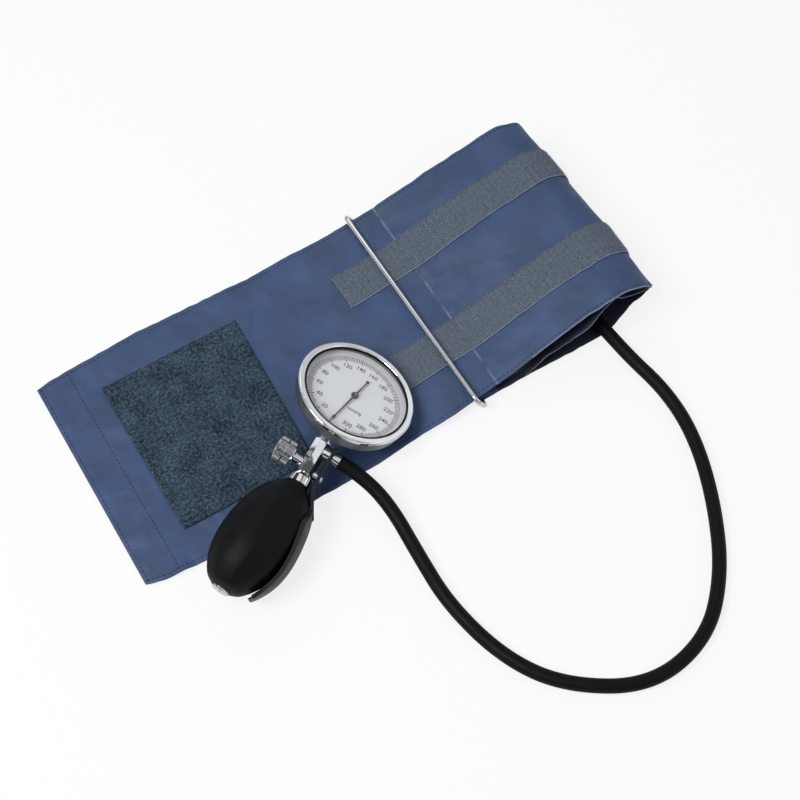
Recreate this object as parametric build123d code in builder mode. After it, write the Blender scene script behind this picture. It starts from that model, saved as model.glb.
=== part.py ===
from build123d import *
import os
from math import cos, hypot, pi, radians, sin, sqrt, tan

# Aneroid sphygmomanometer: an arm cuff folded over on a table, with its squeeze bulb, valve and dial gauge
# lying on the cuff's front edge, and one rubber hose between them. Millimetres.
# X runs along the cuff towards its fold, Y across it towards the back, Z is up. The origin is on the table,
# under the lower panel of the cuff.

os.makedirs("parts", exist_ok=True)

# Cuff cloth
cuff_width = 140.0
fabric = 0.8
layer_gap = 0.1
soft_clearance = 0.3
tongue_tip_x = -272.6
tongue_rise_x = -118.0
curve_share = 0.42

# Bladder in its pocket
bladder_width = 118.0
bladder_thick = 2.4
bladder_wall = 0.8
bladder_start_x = -33.0

# Hook and loop fastening
pile_length = 80.3
pile_width = 101.6
pile_thick = 1.6
pile_left_x = -239.9
pile_middle_y = -0.7
hook_width = 24.0
hook_thick = 1.0
hook_start_x = -89.0
hook_end_z = 5.0
hook_rear_y = 32.0
hook_front_y = -32.0

# Wire ring at the end of the lower panel
wire = 3.0
wire_running = 0.08
ring_hem_x = -55.5
ring_inside_width = 147.0
ring_step_x = -6.0
ring_corner = 4.0
seam_length = 5.0

# Hose
hose_diameter = 8.0
hose_bore = 4.4
floor_gap = 0.1

# Where the pump lies: the top of the valve body, and the way it points
valve_top = Vector(-151.05, -55.34, 24.5)
pump_heading = 30.2
pump_slope = 4.0
pump_roll = 17.6
dial_tilt = 24.2
bulb_bend = 5.3

# Valve body
body_length = 28.7
body_flats = 9.4
body_air_bore = 1.0
skirt_radius = 6.3
skirt_length = 4.2
body_top_radius = 4.0
running_gap = 0.05
fit_gap = 0.02

# Release valve
release_above_neck = 12.2
cross_bore = 2.6
spindle_radius = 2.0
gland_radius = 3.4
gland_top = 9.5
knob_radius = 6.9
knob_length = 10.8
knob_start = 10.4
groove_width = 0.9
groove_depth = 0.8

# Hose connector and hand guard
barb_at = 5.7
spoon_inner = 6.9
spoon_thick = 2.0
spoon_neck_width = 9.0
leaf_width = 28.0
leaf_thick = 1.8
leaf_gaps = [0.6, 0.6, 0.7, 1.9, 2.7, 3.0]
leaf_end_radius = 17.2
leaf_end_at = 66.2
collar_radius = 3.9
barb_length = 8.0
barb_bore = 1.1
screw_above_neck = 8.7

# Bulb and its two valves
bulb_radius = 20.65
bulb_length = 71.4
bulb_wall = 2.6
bulb_mouth = -1.0
nipple_radius = 3.1
nipple_length = 11.3
ball_radius = 1.5
ball_travel = 0.55
plug_flange_radius = 5.3
plug_radius = 3.55
plug_hole = 0.75

# Gauge
gauge_centre = Vector(-120.6, -40.9, 30.0)
bezel_wall = 1.15
bezel_cover = 2.6
bezel_lip = 1.0
bezel_skirt = 2.2
case_radius = 33.8
case_wall = 1.2
case_side = 9.5
case_depth = 17.0
shoulder_inset = 4.8
back_inset = 8.8
lens_thick = 1.4
gasket_thick = 0.6
dial_top = -5.6
dial_thick = 0.6
dial_ledge = 1.0
pointer_length = 28.3
pointer_tail = 14.0
tail_disc_radius = 1.0
hub_radius = 2.15
pointer_thick = 0.4
pointer_height = -4.6
scale_gap = 22.5
scale_sweep = 337.5

# Movement inside the gauge
plate_thick = 0.8
bottom_plate_top = -9.6
top_plate_top = -6.6
plate_half_width = 12.0
plate_margin = 1.9
plate_back_y = 6.5
post_x = 10.3
post_clearance = 0.96
post_back_y = 4.6
post_radius = 1.3
screw_radius = 0.5
module_size = 0.25
pinion_tooth_count = 12
gear_ratio = 9.0
sector_thick = 0.6
arbor_radius = 0.6
pivot_radius = 0.4
capsule_inset = 0.2
capsule_height = 3.2
capsule_skin = 0.4
rocker_height = -11.0
rocker_radius = 0.6


def turned(plane, outline, mode=Mode.ADD):
    # A turned piece on the plane's own axis, from points (radius, height above the plane)
    side = Plane(origin=plane.origin, x_dir=plane.x_dir, z_dir=plane.x_dir.cross(plane.z_dir))
    with BuildSketch(side) as section:
        with BuildLine():
            Polyline(*outline, close=True)
        make_face()
    revolve(section.sketch, axis=Axis(plane.origin, plane.z_dir), mode=mode)


def ring_of(plane, low, high, outer, inner=0.0, mode=Mode.ADD):
    # A plain washer or rod between two heights of a plane
    turned(plane, [(inner, low), (outer, low), (outer, high), (inner, high)], mode)


def corner_radii(points, share):
    # The largest tangent arcs that the runs beside each corner allow
    radii = []
    for before, corner, after in zip(points, points[1:], points[2:]):
        arrive = Vector(*corner) - Vector(*before)
        leave = Vector(*after) - Vector(*corner)
        half_turn = radians(arrive.get_angle(leave)) / 2
        radii.append(share * min(arrive.length, leave.length) / tan(half_turn))
    return radii


def inward(points, depths):
    # The same profile moved into the cloth, and the turn of each corner, positive where the cloth wraps over
    moved = []
    turns = []
    last = len(points) - 1
    for i, (x, z) in enumerate(points):
        ahead = points[min(i + 1, last)]
        behind = points[max(i - 1, 0)]
        arrive = Vector(x - behind[0], z - behind[1]) if i > 0 else Vector(ahead[0] - x, ahead[1] - z)
        leave = Vector(ahead[0] - x, ahead[1] - z) if i < last else arrive
        arrive = arrive.normalized()
        leave = leave.normalized()
        down = Vector(arrive.Y + leave.Y, -arrive.X - leave.X).normalized()
        stretch = depths[i] / down.dot(Vector(leave.Y, -leave.X))
        moved.append((x + down.X * stretch, z + down.Y * stretch))
        turns.append(-1 if arrive.cross(leave).Z > 0 else 1)
    return moved, turns[1:-1]


# The cuff's outer face seen from the front: along the top, round the fold and back under, at the two edges
flat_cut = 0.02
tongue_top = 2 * fabric + layer_gap
front_edge = [
    (tongue_tip_x, tongue_top), (tongue_rise_x, tongue_top), (-90.0, 4.2), (-61.0, 9.4), (-40.0, 11.2),
    (-21.0, 20.5), (4.0, 30.5), (28.0, 36.6), (46.0, 40.2), (60.0, 35.0), (67.5, 20.0), (63.0, 4.0),
    (48.0, -flat_cut), (ring_hem_x, -flat_cut),
]
back_edge = [
    (tongue_tip_x, tongue_top), (tongue_rise_x - 2.0, tongue_top), (-92.0, 7.2), (-61.0, 11.2), (-40.0, 15.4),
    (-19.0, 23.5), (3.0, 29.5), (25.0, 33.8), (43.0, 38.3), (58.0, 33.5), (66.5, 20.0), (62.0, 4.0),
    (47.0, -flat_cut), (ring_hem_x, -flat_cut),
]
tongue_point_count = 4
half_width = cuff_width / 2


def profile_at(y, end_x=ring_hem_x):
    share = (y + half_width) / cuff_width
    points = []
    for a, b in zip(front_edge, back_edge):
        points.append((a[0] + (b[0] - a[0]) * share, a[1] + (b[1] - a[1]) * share))
    points[-1] = (end_x, -flat_cut)
    return points


def layer(depths, thickness, y_from, y_to, end_x=ring_hem_x, mode=Mode.ADD):
    # One layer of the cuff, at its depths under the outer face, between two places across the cuff
    sections = []
    for y in (y_from, y_to):
        points = profile_at(y, end_x)
        near, turns = inward(points, depths)
        outer_radii = corner_radii(points, curve_share)
        room = corner_radii(near, 0.46)
        eased = [radius - turn * depth for radius, turn, depth in zip(outer_radii, turns, depths[1:-1])]
        for corner, (before, after) in enumerate(zip(depths, depths[2:])):
            if before != after:
                eased[corner] = min(eased[corner], room[corner])
        far, near_turns = inward(near, even(thickness))
        eased_far = [radius - turn * thickness for radius, turn in zip(eased, near_turns)]
        with BuildSketch(Plane.XZ.offset(-y)) as section:
            with BuildLine():
                near_line = FilletPolyline(*near, radius=eased)
                far_line = FilletPolyline(*far, radius=eased_far)
                Line(near_line @ 0, far_line @ 0)
                Line(near_line @ 1, far_line @ 1)
            make_face()
        sections.append(section.sketch)
    loft(sections, ruled=True, mode=mode)


def even(depth):
    return [depth] * len(front_edge)


def stepped(depth_tongue, depth_loop):
    return [depth_tongue] * tongue_point_count + [depth_loop] * (len(front_edge) - tongue_point_count)


bladder_top = fabric + layer_gap
bladder_under = bladder_top + bladder_thick
lining_in_tongue = fabric + layer_gap
lining_in_loop = bladder_under + layer_gap
loop_thick = lining_in_loop + fabric

# Outer fabric, one piece from the tongue's tip to the hem that holds the ring
bar_bore = wire / 2 + wire_running
hem_radius = bar_bore + fabric
hem_axis = Vector(ring_hem_x, 0, hem_radius)
seam_end_x = ring_hem_x + seam_length
with BuildPart() as cuff_outer_fabric:
    layer(even(0.0), fabric, -half_width, half_width)
    split(bisect_by=Plane.XY, keep=Keep.TOP)
    with BuildSketch(Plane.XZ.offset(half_width)):
        with Locations((ring_hem_x, hem_radius)):
            Circle(hem_radius)
        with Locations((ring_hem_x, 0)):
            Rectangle(seam_length, loop_thick, align=(Align.MIN, Align.MIN))
    extrude(amount=-cuff_width)
    with BuildSketch(Plane.XZ.offset(half_width)):
        with Locations((ring_hem_x, hem_radius)):
            Circle(bar_bore)
    extrude(amount=-cuff_width, mode=Mode.SUBTRACT)
cuff_outer_fabric.part.label = "cuff_outer_fabric"

# Hose route, from the pump to the cuff; the first point is the connector's mouth
side_heading = Vector(sin(radians(pump_heading)), -cos(radians(pump_heading)), 0)
to_gauge = Vector(
    cos(radians(pump_slope)) * cos(radians(pump_heading)),
    cos(radians(pump_slope)) * sin(radians(pump_heading)),
    sin(radians(pump_slope)),
)
square_up = side_heading.cross(to_gauge)
to_hose = side_heading * cos(radians(pump_roll)) - square_up * sin(radians(pump_roll))
pump_front = square_up * cos(radians(pump_roll)) + side_heading * sin(radians(pump_roll))

valve = Plane(origin=valve_top, x_dir=to_hose, z_dir=-to_gauge)
gauge = Plane(
    origin=gauge_centre,
    x_dir=to_hose,
    z_dir=pump_front * cos(radians(dial_tilt)) + to_gauge * sin(radians(dial_tilt)),
)
neck = valve.offset(body_length)
bulb_axis = neck.z_dir * cos(radians(bulb_bend)) - to_hose * sin(radians(bulb_bend))
bulb_plane = Plane(
    origin=neck.origin,
    x_dir=to_hose * cos(radians(bulb_bend)) + neck.z_dir * sin(radians(bulb_bend)),
    z_dir=bulb_axis,
)
release_at = valve.offset(body_length - release_above_neck)
release = Plane(origin=release_at.origin, x_dir=valve.z_dir, z_dir=-to_hose)
connector = Plane(origin=valve.offset(barb_at).origin, x_dir=valve.z_dir, z_dir=to_hose)
screw_at = valve.offset(body_length - screw_above_neck)
spoon_fixing = Plane(origin=screw_at.origin, x_dir=valve.z_dir, z_dir=to_hose)

spoon_outer = spoon_inner + spoon_thick
collar_base = spoon_outer + running_gap
collar_end = collar_base + 4.2
hose_start = connector.offset(collar_end + running_gap)
straight_start = 15.5
hose_radius = hose_diameter / 2
hose_floor = hose_radius + floor_gap
over_cloth = hose_radius + fabric + 0.15
hose_first = hose_start.origin
hose_second = hose_start.offset(straight_start).origin
hose_route = [
    (hose_first.X, hose_first.Y, hose_first.Z),
    (hose_second.X, hose_second.Y, hose_second.Z),
    (-136.5, -103.0, 9.6),
    (-137.5, -133.0, 5.2),
    (-138.5, -166.0, hose_floor),
    (-129.5, -206.0, hose_floor),
    (-110.5, -235.5, hose_floor),
    (-72.0, -259.5, hose_floor),
    (-31.0, -254.0, hose_floor),
    (-2.0, -228.5, hose_floor),
    (20.0, -192.5, hose_floor),
    (35.0, -155.0, hose_floor),
    (38.8, -122.0, hose_floor),
    (32.8, -88.0, over_cloth - 0.3),
    (31.5, -63.0, over_cloth),
]
hose_radii = corner_radii(hose_route, 0.45)
with BuildPart() as hose:
    with BuildLine() as hose_line:
        FilletPolyline(*hose_route, radius=hose_radii)
    hose_path = hose_line.wires()[0]
    with BuildSketch(Plane(origin=hose_path @ 0, z_dir=hose_path % 0)):
        Circle(hose_radius)
        Circle(hose_bore / 2, mode=Mode.SUBTRACT)
    sweep(path=hose_path)
hose.part.label = "hose"
hose_length = hose_path.length
hose_section = pi * (hose_radius**2 - (hose_bore / 2) ** 2)
print("hose radii", [round(r, 1) for r in hose_radii])
print("hose length", round(hose_length, 1), "volume", round(hose.part.volume, 1))
print("section times length", round(hose_section * hose_length, 1))

# Bladder: a flat rubber bag folded with the cuff, hollow, with a slot where the port joins it
bladder_half = bladder_width / 2
hose_end = hose_path @ 1
port_root = Vector(hose_end.X - 0.2, -bladder_half, bladder_top + bladder_thick / 2)
port_width = 13.0
port_slot = (bladder_thick - 2 * bladder_wall) / 2
with BuildPart() as bladder_inside:
    layer(
        even(bladder_top + bladder_wall),
        bladder_thick - 2 * bladder_wall,
        bladder_wall - bladder_half,
        bladder_half - bladder_wall,
    )
    split(bisect_by=Plane.YZ.offset(bladder_start_x + bladder_wall), keep=Keep.TOP)
with BuildPart() as bladder:
    layer(even(bladder_top), bladder_thick, -bladder_half, bladder_half)
    split(bisect_by=Plane.YZ.offset(bladder_start_x), keep=Keep.TOP)
    add(bladder_inside.part, mode=Mode.SUBTRACT)
    with BuildSketch(Plane.XZ.offset(bladder_half)):
        with Locations((port_root.X, port_root.Z)):
            Ellipse(port_width / 2 - 2, port_slot)
    extrude(amount=-2 * bladder_wall, mode=Mode.SUBTRACT)
bladder.part.label = "bladder"

# Port: the neck that takes the round hose into the flat bag
port_mouth = Plane(origin=hose_end, z_dir=hose_path % 1)
with BuildPart() as bladder_port:
    with BuildSketch(port_mouth):
        Circle(hose_radius)
    with BuildSketch(Plane.XZ.offset(bladder_half + 0.02)):
        with Locations((port_root.X, port_root.Z)):
            Ellipse(port_width / 2, bladder_thick / 2)
    loft()
    with BuildSketch(port_mouth):
        Circle(hose_bore / 2)
    with BuildSketch(Plane.XZ.offset(bladder_half + 0.02)):
        with Locations((port_root.X, port_root.Z)):
            Ellipse(port_width / 2 - 2, port_slot)
    loft(mode=Mode.SUBTRACT)
bladder_port.part.label = "bladder_port"

# Lining, with a notch at the front edge where the hose goes in
notch_half = hose_radius + 2.5
notch_depth = half_width - bladder_half + 0.5
with BuildPart() as cuff_lining:
    layer(
        stepped(lining_in_tongue, lining_in_loop), fabric, -half_width, half_width, seam_end_x + layer_gap
    )
    with BuildSketch(Plane.XY.offset(bladder_under)):
        with Locations((hose_end.X, -half_width)):
            RectangleRounded(2 * notch_half, 2 * notch_depth, 3.0)
    extrude(amount=2 * fabric, mode=Mode.SUBTRACT)
cuff_lining.part.label = "cuff_lining"

# Loop pile patch on the tongue
pile_base = 1.7
with BuildPart() as loop_pile_patch:
    with BuildSketch(Plane.XY.offset(pile_base + layer_gap / 2)):
        with Locations((pile_left_x + pile_length / 2, pile_middle_y)):
            RectangleRounded(pile_length, pile_width, 1.5)
    extrude(amount=pile_thick)
    chamfer(loop_pile_patch.edges().group_by(Axis.Z)[-1], 0.5)
loop_pile_patch.part.label = "loop_pile_patch"

# Two hook strips over the upper layer and round the fold
hook_strips = {}
for name, middle_y in (("hook_strip_rear", hook_rear_y), ("hook_strip_front", hook_front_y)):
    with BuildPart() as hook_strip:
        layer(
            even(-hook_thick - layer_gap), hook_thick, middle_y - hook_width / 2, middle_y + hook_width / 2
        )
        split(bisect_by=Plane.YZ.offset(hook_start_x), keep=Keep.TOP)
        split(bisect_by=Plane.XY.offset(hook_end_z), keep=Keep.TOP)
    hook_strip.part.label = name
    hook_strips[name] = hook_strip.part

# Wire ring: one bar turns in the cuff's hem, the other lies over the upper layer
ring_crown = profile_at(hook_rear_y + hook_width / 2)[tongue_point_count - 1][1] + hook_thick
ring_step_z = ring_crown + soft_clearance + wire / 2 - hem_axis.Z
ring_rise = hypot(ring_step_x, ring_step_z)
ring_half = (ring_inside_width + wire) / 2
ring_plane = Plane(
    origin=hem_axis,
    x_dir=(0, 1, 0),
    z_dir=Vector(0, 1, 0).cross(Vector(ring_step_x, 0, ring_step_z)),
)
with BuildPart() as cuff_ring:
    with BuildLine(ring_plane) as ring_line:
        FilletPolyline(
            (-ring_half, 0), (ring_half, 0), (ring_half, ring_rise), (-ring_half, ring_rise),
            close=True, radius=ring_corner,
        )
    ring_path = ring_line.wires()[0]
    with BuildSketch(Plane(origin=ring_path @ 0, z_dir=ring_path % 0)):
        Circle(wire / 2)
    sweep(path=ring_path)
cuff_ring.part.label = "cuff_ring"

# Valve body: a faceted chrome block between the gauge and the bulb
half_flats = body_flats / 2
skirt_start = body_length - skirt_length
waist = skirt_start - 2.4
waist_low = waist - 1.0
top_collar = 1.4
facets_from = 0.8
stub_bore = 1.95
screw_bore = 1.2
screw_bore_from = 3.6
relief_half_width = 1.5
relief_half_length = 3.6
relief_depth = 0.4
lower_bore = nipple_radius
lower_bore_depth = 8.4
boss_radius = 4.2
screw_boss_radius = 2.5
relief_at = 8.6
relief_face = Plane(
    origin=valve.offset(relief_at).origin + pump_front * half_flats, x_dir=to_hose, z_dir=pump_front
)
with BuildPart() as valve_body:
    ring_of(valve, 0, top_collar, body_top_radius)
    with BuildSketch(valve.offset(facets_from)):
        RegularPolygon(half_flats, 8, major_radius=False, rotation=22.5)
    extrude(amount=waist - facets_from)
    turned(
        valve,
        [
            (0, waist_low), (half_flats - 0.4, waist_low), (half_flats - 0.2, waist),
            (skirt_radius, skirt_start), (skirt_radius, body_length), (0, body_length),
        ],
    )
    ring_of(connector, 0, spoon_inner, boss_radius)
    ring_of(spoon_fixing, 0, spoon_inner - running_gap, screw_boss_radius)
    ring_of(valve, body_length - lower_bore_depth, body_length, lower_bore, mode=Mode.SUBTRACT)
    ring_of(valve, 0, body_length, body_air_bore, mode=Mode.SUBTRACT)
    ring_of(release, -0.5, half_flats + 1, cross_bore, mode=Mode.SUBTRACT)
    ring_of(connector, 0, spoon_inner, stub_bore, mode=Mode.SUBTRACT)
    ring_of(spoon_fixing, screw_bore_from, spoon_inner, screw_bore, mode=Mode.SUBTRACT)
    with BuildSketch(relief_face):
        Ellipse(relief_half_width, relief_half_length)
    extrude(amount=-relief_depth, mode=Mode.SUBTRACT)
valve_body.part.label = "valve_body"

# Gauge case: turned shell with a ledge for the dial, a sloping shoulder and a flat back
lens_top = -bezel_lip
lens_low = lens_top - lens_thick
case_rim = lens_low - gasket_thick
case_inner = case_radius - case_wall
dial_low = dial_top - dial_thick
ledge_inner = case_inner - 1.8
shoulder_radius = case_radius - shoulder_inset
shoulder_height = -case_side - 4.7
case_back_radius = case_radius - back_inset
floor_radius = case_back_radius - 0.6
case_floor = case_wall - case_depth
bezel_seat = case_radius + running_gap
bezel_radius = bezel_seat + bezel_wall
bezel_opening = case_radius - bezel_cover
socket_radius = 3.5
socket_start = 2.4
socket_end = 8.5
with BuildPart() as gauge_case:
    turned(
        gauge,
        [
            (0, -case_depth), (case_back_radius, -case_depth), (shoulder_radius, shoulder_height),
            (case_radius, -case_side), (case_radius, case_rim), (case_inner, case_rim),
            (case_inner, dial_low), (ledge_inner, dial_low), (ledge_inner, dial_low - dial_ledge),
            (case_inner, dial_low - dial_ledge), (case_inner, -case_side + 0.4),
            (shoulder_radius - case_wall + 0.4, shoulder_height + case_wall),
            (floor_radius, case_floor), (0, case_floor),
        ],
    )
    side_edges = gauge_case.edges().filter_by(GeomType.CIRCLE)
    side_edges = side_edges.filter_by(lambda e: abs(e.radius - case_radius) < 0.01)
    fillet(side_edges.sort_by(Axis(gauge.origin, gauge.z_dir))[0], 2.0)
    back_edges = gauge_case.edges().filter_by(GeomType.CIRCLE)
    fillet(back_edges.filter_by(lambda e: abs(e.radius - case_back_radius) < 0.01), 1.5)
    ring_of(valve, -socket_end - 2, 0, socket_radius + fit_gap, mode=Mode.SUBTRACT)
gauge_case.part.label = "gauge_case"

# Socket: joins the valve body to the gauge and leads the air to the capsule
with BuildPart() as gauge_socket:
    ring_of(valve, -socket_end, -socket_start, socket_radius)
    ring_of(valve, -socket_start, -running_gap / 2, 3.1)
    ring_of(valve, -socket_end - 0.95, -socket_end, 0.9)
    ring_of(valve, -socket_end - 1, 0, 0.45, mode=Mode.SUBTRACT)
gauge_socket.part.label = "gauge_socket"

# Bezel, pressed over the case, with a rolled lip that holds the lens
with BuildPart() as bezel_ring:
    turned(
        gauge,
        [
            (bezel_seat, -bezel_skirt), (bezel_radius, -bezel_skirt), (bezel_radius, 0), (bezel_opening, 0),
            (bezel_opening, -bezel_lip), (bezel_seat, -bezel_lip),
        ],
    )
    front_edges = bezel_ring.edges().filter_by(GeomType.CIRCLE).group_by(Axis(gauge.origin, gauge.z_dir))[-1]
    fillet(front_edges.sort_by(lambda e: e.radius)[-1], 1.05)
    fillet(front_edges.sort_by(lambda e: e.radius)[0], 0.8)
bezel_ring.part.label = "bezel_ring"

lens_radius = case_radius - 0.6
with BuildPart() as lens:
    ring_of(gauge, lens_low, lens_top, lens_radius)
lens.part.label = "lens"

with BuildPart() as lens_gasket:
    ring_of(gauge, case_rim, lens_low, lens_radius, bezel_opening)
lens_gasket.part.label = "lens_gasket"

dial_hole = 1.6
with BuildPart() as dial_plate:
    ring_of(gauge, dial_low, dial_top, case_inner - 0.2, dial_hole)
dial_plate.part.label = "dial_plate"

# Pointer: points at zero at rest, just past the bottom of the dial, clockwise
zero_angle = -90 - scale_gap / 2
pointer_plane = Plane(
    origin=gauge.offset(pointer_height).origin,
    x_dir=gauge.x_dir * cos(radians(zero_angle)) + gauge.y_dir * sin(radians(zero_angle)),
    z_dir=gauge.z_dir,
)
arrow_at = 22.5
with BuildPart() as pointer:
    with BuildSketch(pointer_plane):
        with BuildLine():
            Polyline(
                (-pointer_tail, -0.3), (0, -0.5), (arrow_at - 1.5, -0.35), (arrow_at, -0.9),
                (arrow_at + 2, -0.28), (pointer_length, -0.12), (pointer_length, 0.12), (arrow_at + 2, 0.28),
                (arrow_at, 0.9), (arrow_at - 1.5, 0.35), (0, 0.5), (-pointer_tail, 0.3), close=True,
            )
        make_face()
        with Locations((-pointer_tail, 0)):
            Circle(tail_disc_radius)
        Circle(hub_radius)
        Circle(arbor_radius + fit_gap, mode=Mode.SUBTRACT)
    extrude(amount=pointer_thick)
    hub_top = pointer_plane.offset(pointer_thick)
    turned(
        hub_top,
        [
            (arbor_radius + fit_gap, 0), (hub_radius, 0), (hub_radius - 0.6, 0.8),
            (arbor_radius + fit_gap, 1.0),
        ],
    )
pointer.part.label = "pointer"


def toothed(teeth, first, last, pitch_radius, phase):
    # Tooth outlines round the sketch's origin, with a little backlash
    pitch_angle = 360 / teeth
    pitch = 2 * pi * pitch_radius / teeth
    add_height = 0.8 * module_size
    root_depth = 1.08 * module_size
    for k in range(first, last):
        with Locations(Rotation(0, 0, phase + k * pitch_angle)):
            Polygon(
                (pitch_radius - root_depth - 0.15, -0.21 * pitch),
                (pitch_radius - root_depth - 0.15, 0.21 * pitch),
                (pitch_radius, 0.18 * pitch),
                (pitch_radius + add_height, 0.1 * pitch),
                (pitch_radius + add_height, -0.1 * pitch),
                (pitch_radius, -0.18 * pitch),
                align=None,
            )


# Pointer arbor with its pinion
pinion_pitch = module_size * pinion_tooth_count / 2
root_depth = 1.08 * module_size
sector_low = bottom_plate_top + 0.2
pinion_low = sector_low - 0.05
pinion_high = sector_low + sector_thick + 0.15
with BuildPart() as pointer_arbor:
    ring_of(gauge, pinion_low, pointer_height + pointer_thick + 0.9, arbor_radius)
    ring_of(gauge, bottom_plate_top - plate_thick, pinion_low, pivot_radius)
    with BuildSketch(gauge.offset(pinion_low)):
        Circle(pinion_pitch - root_depth)
        toothed(pinion_tooth_count, 0, pinion_tooth_count, pinion_pitch, -90 + 180 / pinion_tooth_count)
    extrude(amount=pinion_high - pinion_low)
pointer_arbor.part.label = "pointer_arbor"

# Toothed sector, its tail pushed by the rocker's finger
sector_tooth_count = round(pinion_tooth_count * gear_ratio)
sector_pitch = module_size * sector_tooth_count / 2
sector_swing = scale_sweep / gear_ratio
sector_centre = Plane(
    origin=gauge.origin - gauge.y_dir * (pinion_pitch + sector_pitch), x_dir=gauge.x_dir, z_dir=gauge.z_dir
)
rim_width = 1.0
tail_radius = 1.32
tail_pin = 0.35
arm_half = 0.5
past_count = 2
before_count = 13
sector_middle = 90 - sector_swing / 2
tail_angle = 180 - sector_swing / 2
tooth_angle = 360 / sector_tooth_count
rim_outer = sector_pitch - root_depth
with BuildPart() as sector_gear:
    with BuildSketch(sector_centre.offset(sector_low)):
        Circle(rim_outer)
        Circle(rim_outer - rim_width, mode=Mode.SUBTRACT)
        rim_from = radians(90 - (before_count + 0.5) * tooth_angle)
        rim_to = radians(90 + (past_count + 0.5) * tooth_angle)
        rim_middle = (rim_from + rim_to) / 2
        reach = sector_pitch * 1.2
        with BuildLine():
            Polyline(
                (0, 0),
                (reach * cos(rim_from), reach * sin(rim_from)),
                (1.3 * reach * cos(rim_middle), 1.3 * reach * sin(rim_middle)),
                (reach * cos(rim_to), reach * sin(rim_to)),
                close=True,
            )
        make_face(mode=Mode.INTERSECT)
        toothed(sector_tooth_count, -before_count, past_count + 1, sector_pitch, 90)
        with Locations(Rotation(0, 0, sector_middle)):
            Rectangle(rim_outer - rim_width / 2, 2 * arm_half, align=(Align.MIN, Align.CENTER))
        with Locations(Rotation(0, 0, tail_angle)):
            Rectangle(tail_radius, 0.7, align=(Align.MIN, Align.CENTER))
        Circle(2 * pivot_radius)
        with Locations(Rotation(0, 0, tail_angle) * Pos(tail_radius, 0)):
            Circle(tail_pin + 0.05)
    extrude(amount=sector_thick)
    ring_of(sector_centre, bottom_plate_top - plate_thick, top_plate_top, pivot_radius)
    with BuildSketch(sector_centre.offset(sector_low + sector_thick)):
        with Locations(Rotation(0, 0, tail_angle) * Pos(tail_radius, 0)):
            Circle(tail_pin)
    extrude(amount=1.2)
sector_gear.part.label = "sector_gear"

# Hairspring: half turns of growing radius round the arbor
spring_start = arbor_radius + 0.25
spring_step = 0.38
spring_half_count = 7
spring_height = 0.4
spring_low = pinion_high + 0.2
with BuildPart() as hairspring:
    with BuildSketch(gauge.offset(spring_low)):
        with BuildLine() as spiral:
            left = -spring_start
            for half in range(spring_half_count):
                side = 1 if half % 2 == 0 else -1
                right = -left + side * spring_step
                middle = (left + right) / 2
                arc_radius = abs(right - left) / 2
                ThreePointArc((left, 0), (middle, side * arc_radius), (right, 0))
                left = right
        trace(line_width=0.16)
    extrude(amount=spring_height)
    ring_of(gauge, spring_low, spring_low + spring_height, spring_start + 0.08, arbor_radius + 0.01)
hairspring.part.label = "hairspring"

# Movement plates, posts, pillars and screws
post_reach = floor_radius - post_radius - post_clearance
post_front_y = -sqrt(post_reach**2 - post_x**2)
plate_front_y = post_front_y - plate_margin
post_spots = [(x, y) for x in (-post_x, post_x) for y in (post_front_y, post_back_y)]
plate_middle_y = (plate_front_y + plate_back_y) / 2
pivot_hole = pivot_radius + running_gap
sector_y = -(pinion_pitch + sector_pitch)
pin_rest_y = sector_y + tail_radius * sin(radians(sector_swing / 2))
finger_radius = 0.35
rocker_y = pin_rest_y + tail_pin + finger_radius + 0.2
capsule_y = rocker_y + 5.38


def plate(height, finger_slot, arbor_hole):
    with BuildSketch(gauge.offset(height - plate_thick)) as outline:
        with Locations((0, plate_middle_y)):
            RectangleRounded(2 * plate_half_width, plate_back_y - plate_front_y, 2.0)
        with Locations(*post_spots):
            Circle(screw_radius + running_gap, mode=Mode.SUBTRACT)
        with Locations((0, sector_y)):
            Circle(pivot_hole, mode=Mode.SUBTRACT)
        Circle(arbor_hole, mode=Mode.SUBTRACT)
        if finger_slot:
            with Locations((-tail_radius, rocker_y)):
                Rectangle(1.5, 2.8, mode=Mode.SUBTRACT)
            with Locations((0, (rocker_y + capsule_y) / 2)):
                Rectangle(2.6, capsule_y - rocker_y + 2.4, mode=Mode.SUBTRACT)
    extrude(outline.sketch, amount=plate_thick)


bearing_x = 4.6
bearing_width = 1.2
with BuildPart() as bottom_plate:
    plate(bottom_plate_top, True, pivot_hole)
    for side in (-1, 1):
        with BuildSketch(gauge.offset(rocker_height - 1.0)):
            with Locations((side * bearing_x, rocker_y)):
                Rectangle(bearing_width, 2.4)
        extrude(amount=bottom_plate_top - plate_thick - rocker_height + 1.0)
    rocker_axis_plane = Plane(
        origin=gauge.origin + gauge.y_dir * rocker_y + gauge.z_dir * rocker_height,
        x_dir=gauge.y_dir,
        z_dir=gauge.x_dir,
    )
    shaft_hole = rocker_radius + running_gap
    ring_of(rocker_axis_plane, -plate_half_width, plate_half_width, shaft_hole, mode=Mode.SUBTRACT)
bottom_plate.part.label = "bottom_plate"

with BuildPart() as top_plate:
    plate(top_plate_top, False, arbor_radius + running_gap)
top_plate.part.label = "top_plate"

bottom_plate_low = bottom_plate_top - plate_thick
screw_depth = 1.2
with BuildPart() as case_posts:
    with BuildSketch(gauge.offset(case_floor)):
        with Locations(*post_spots):
            Circle(post_radius)
    extrude(amount=bottom_plate_low - case_floor)
    with BuildSketch(gauge.offset(bottom_plate_low)):
        with Locations(*post_spots):
            Circle(screw_radius)
    extrude(amount=-screw_depth, mode=Mode.SUBTRACT)
case_posts.part.label = "case_posts"

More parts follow.
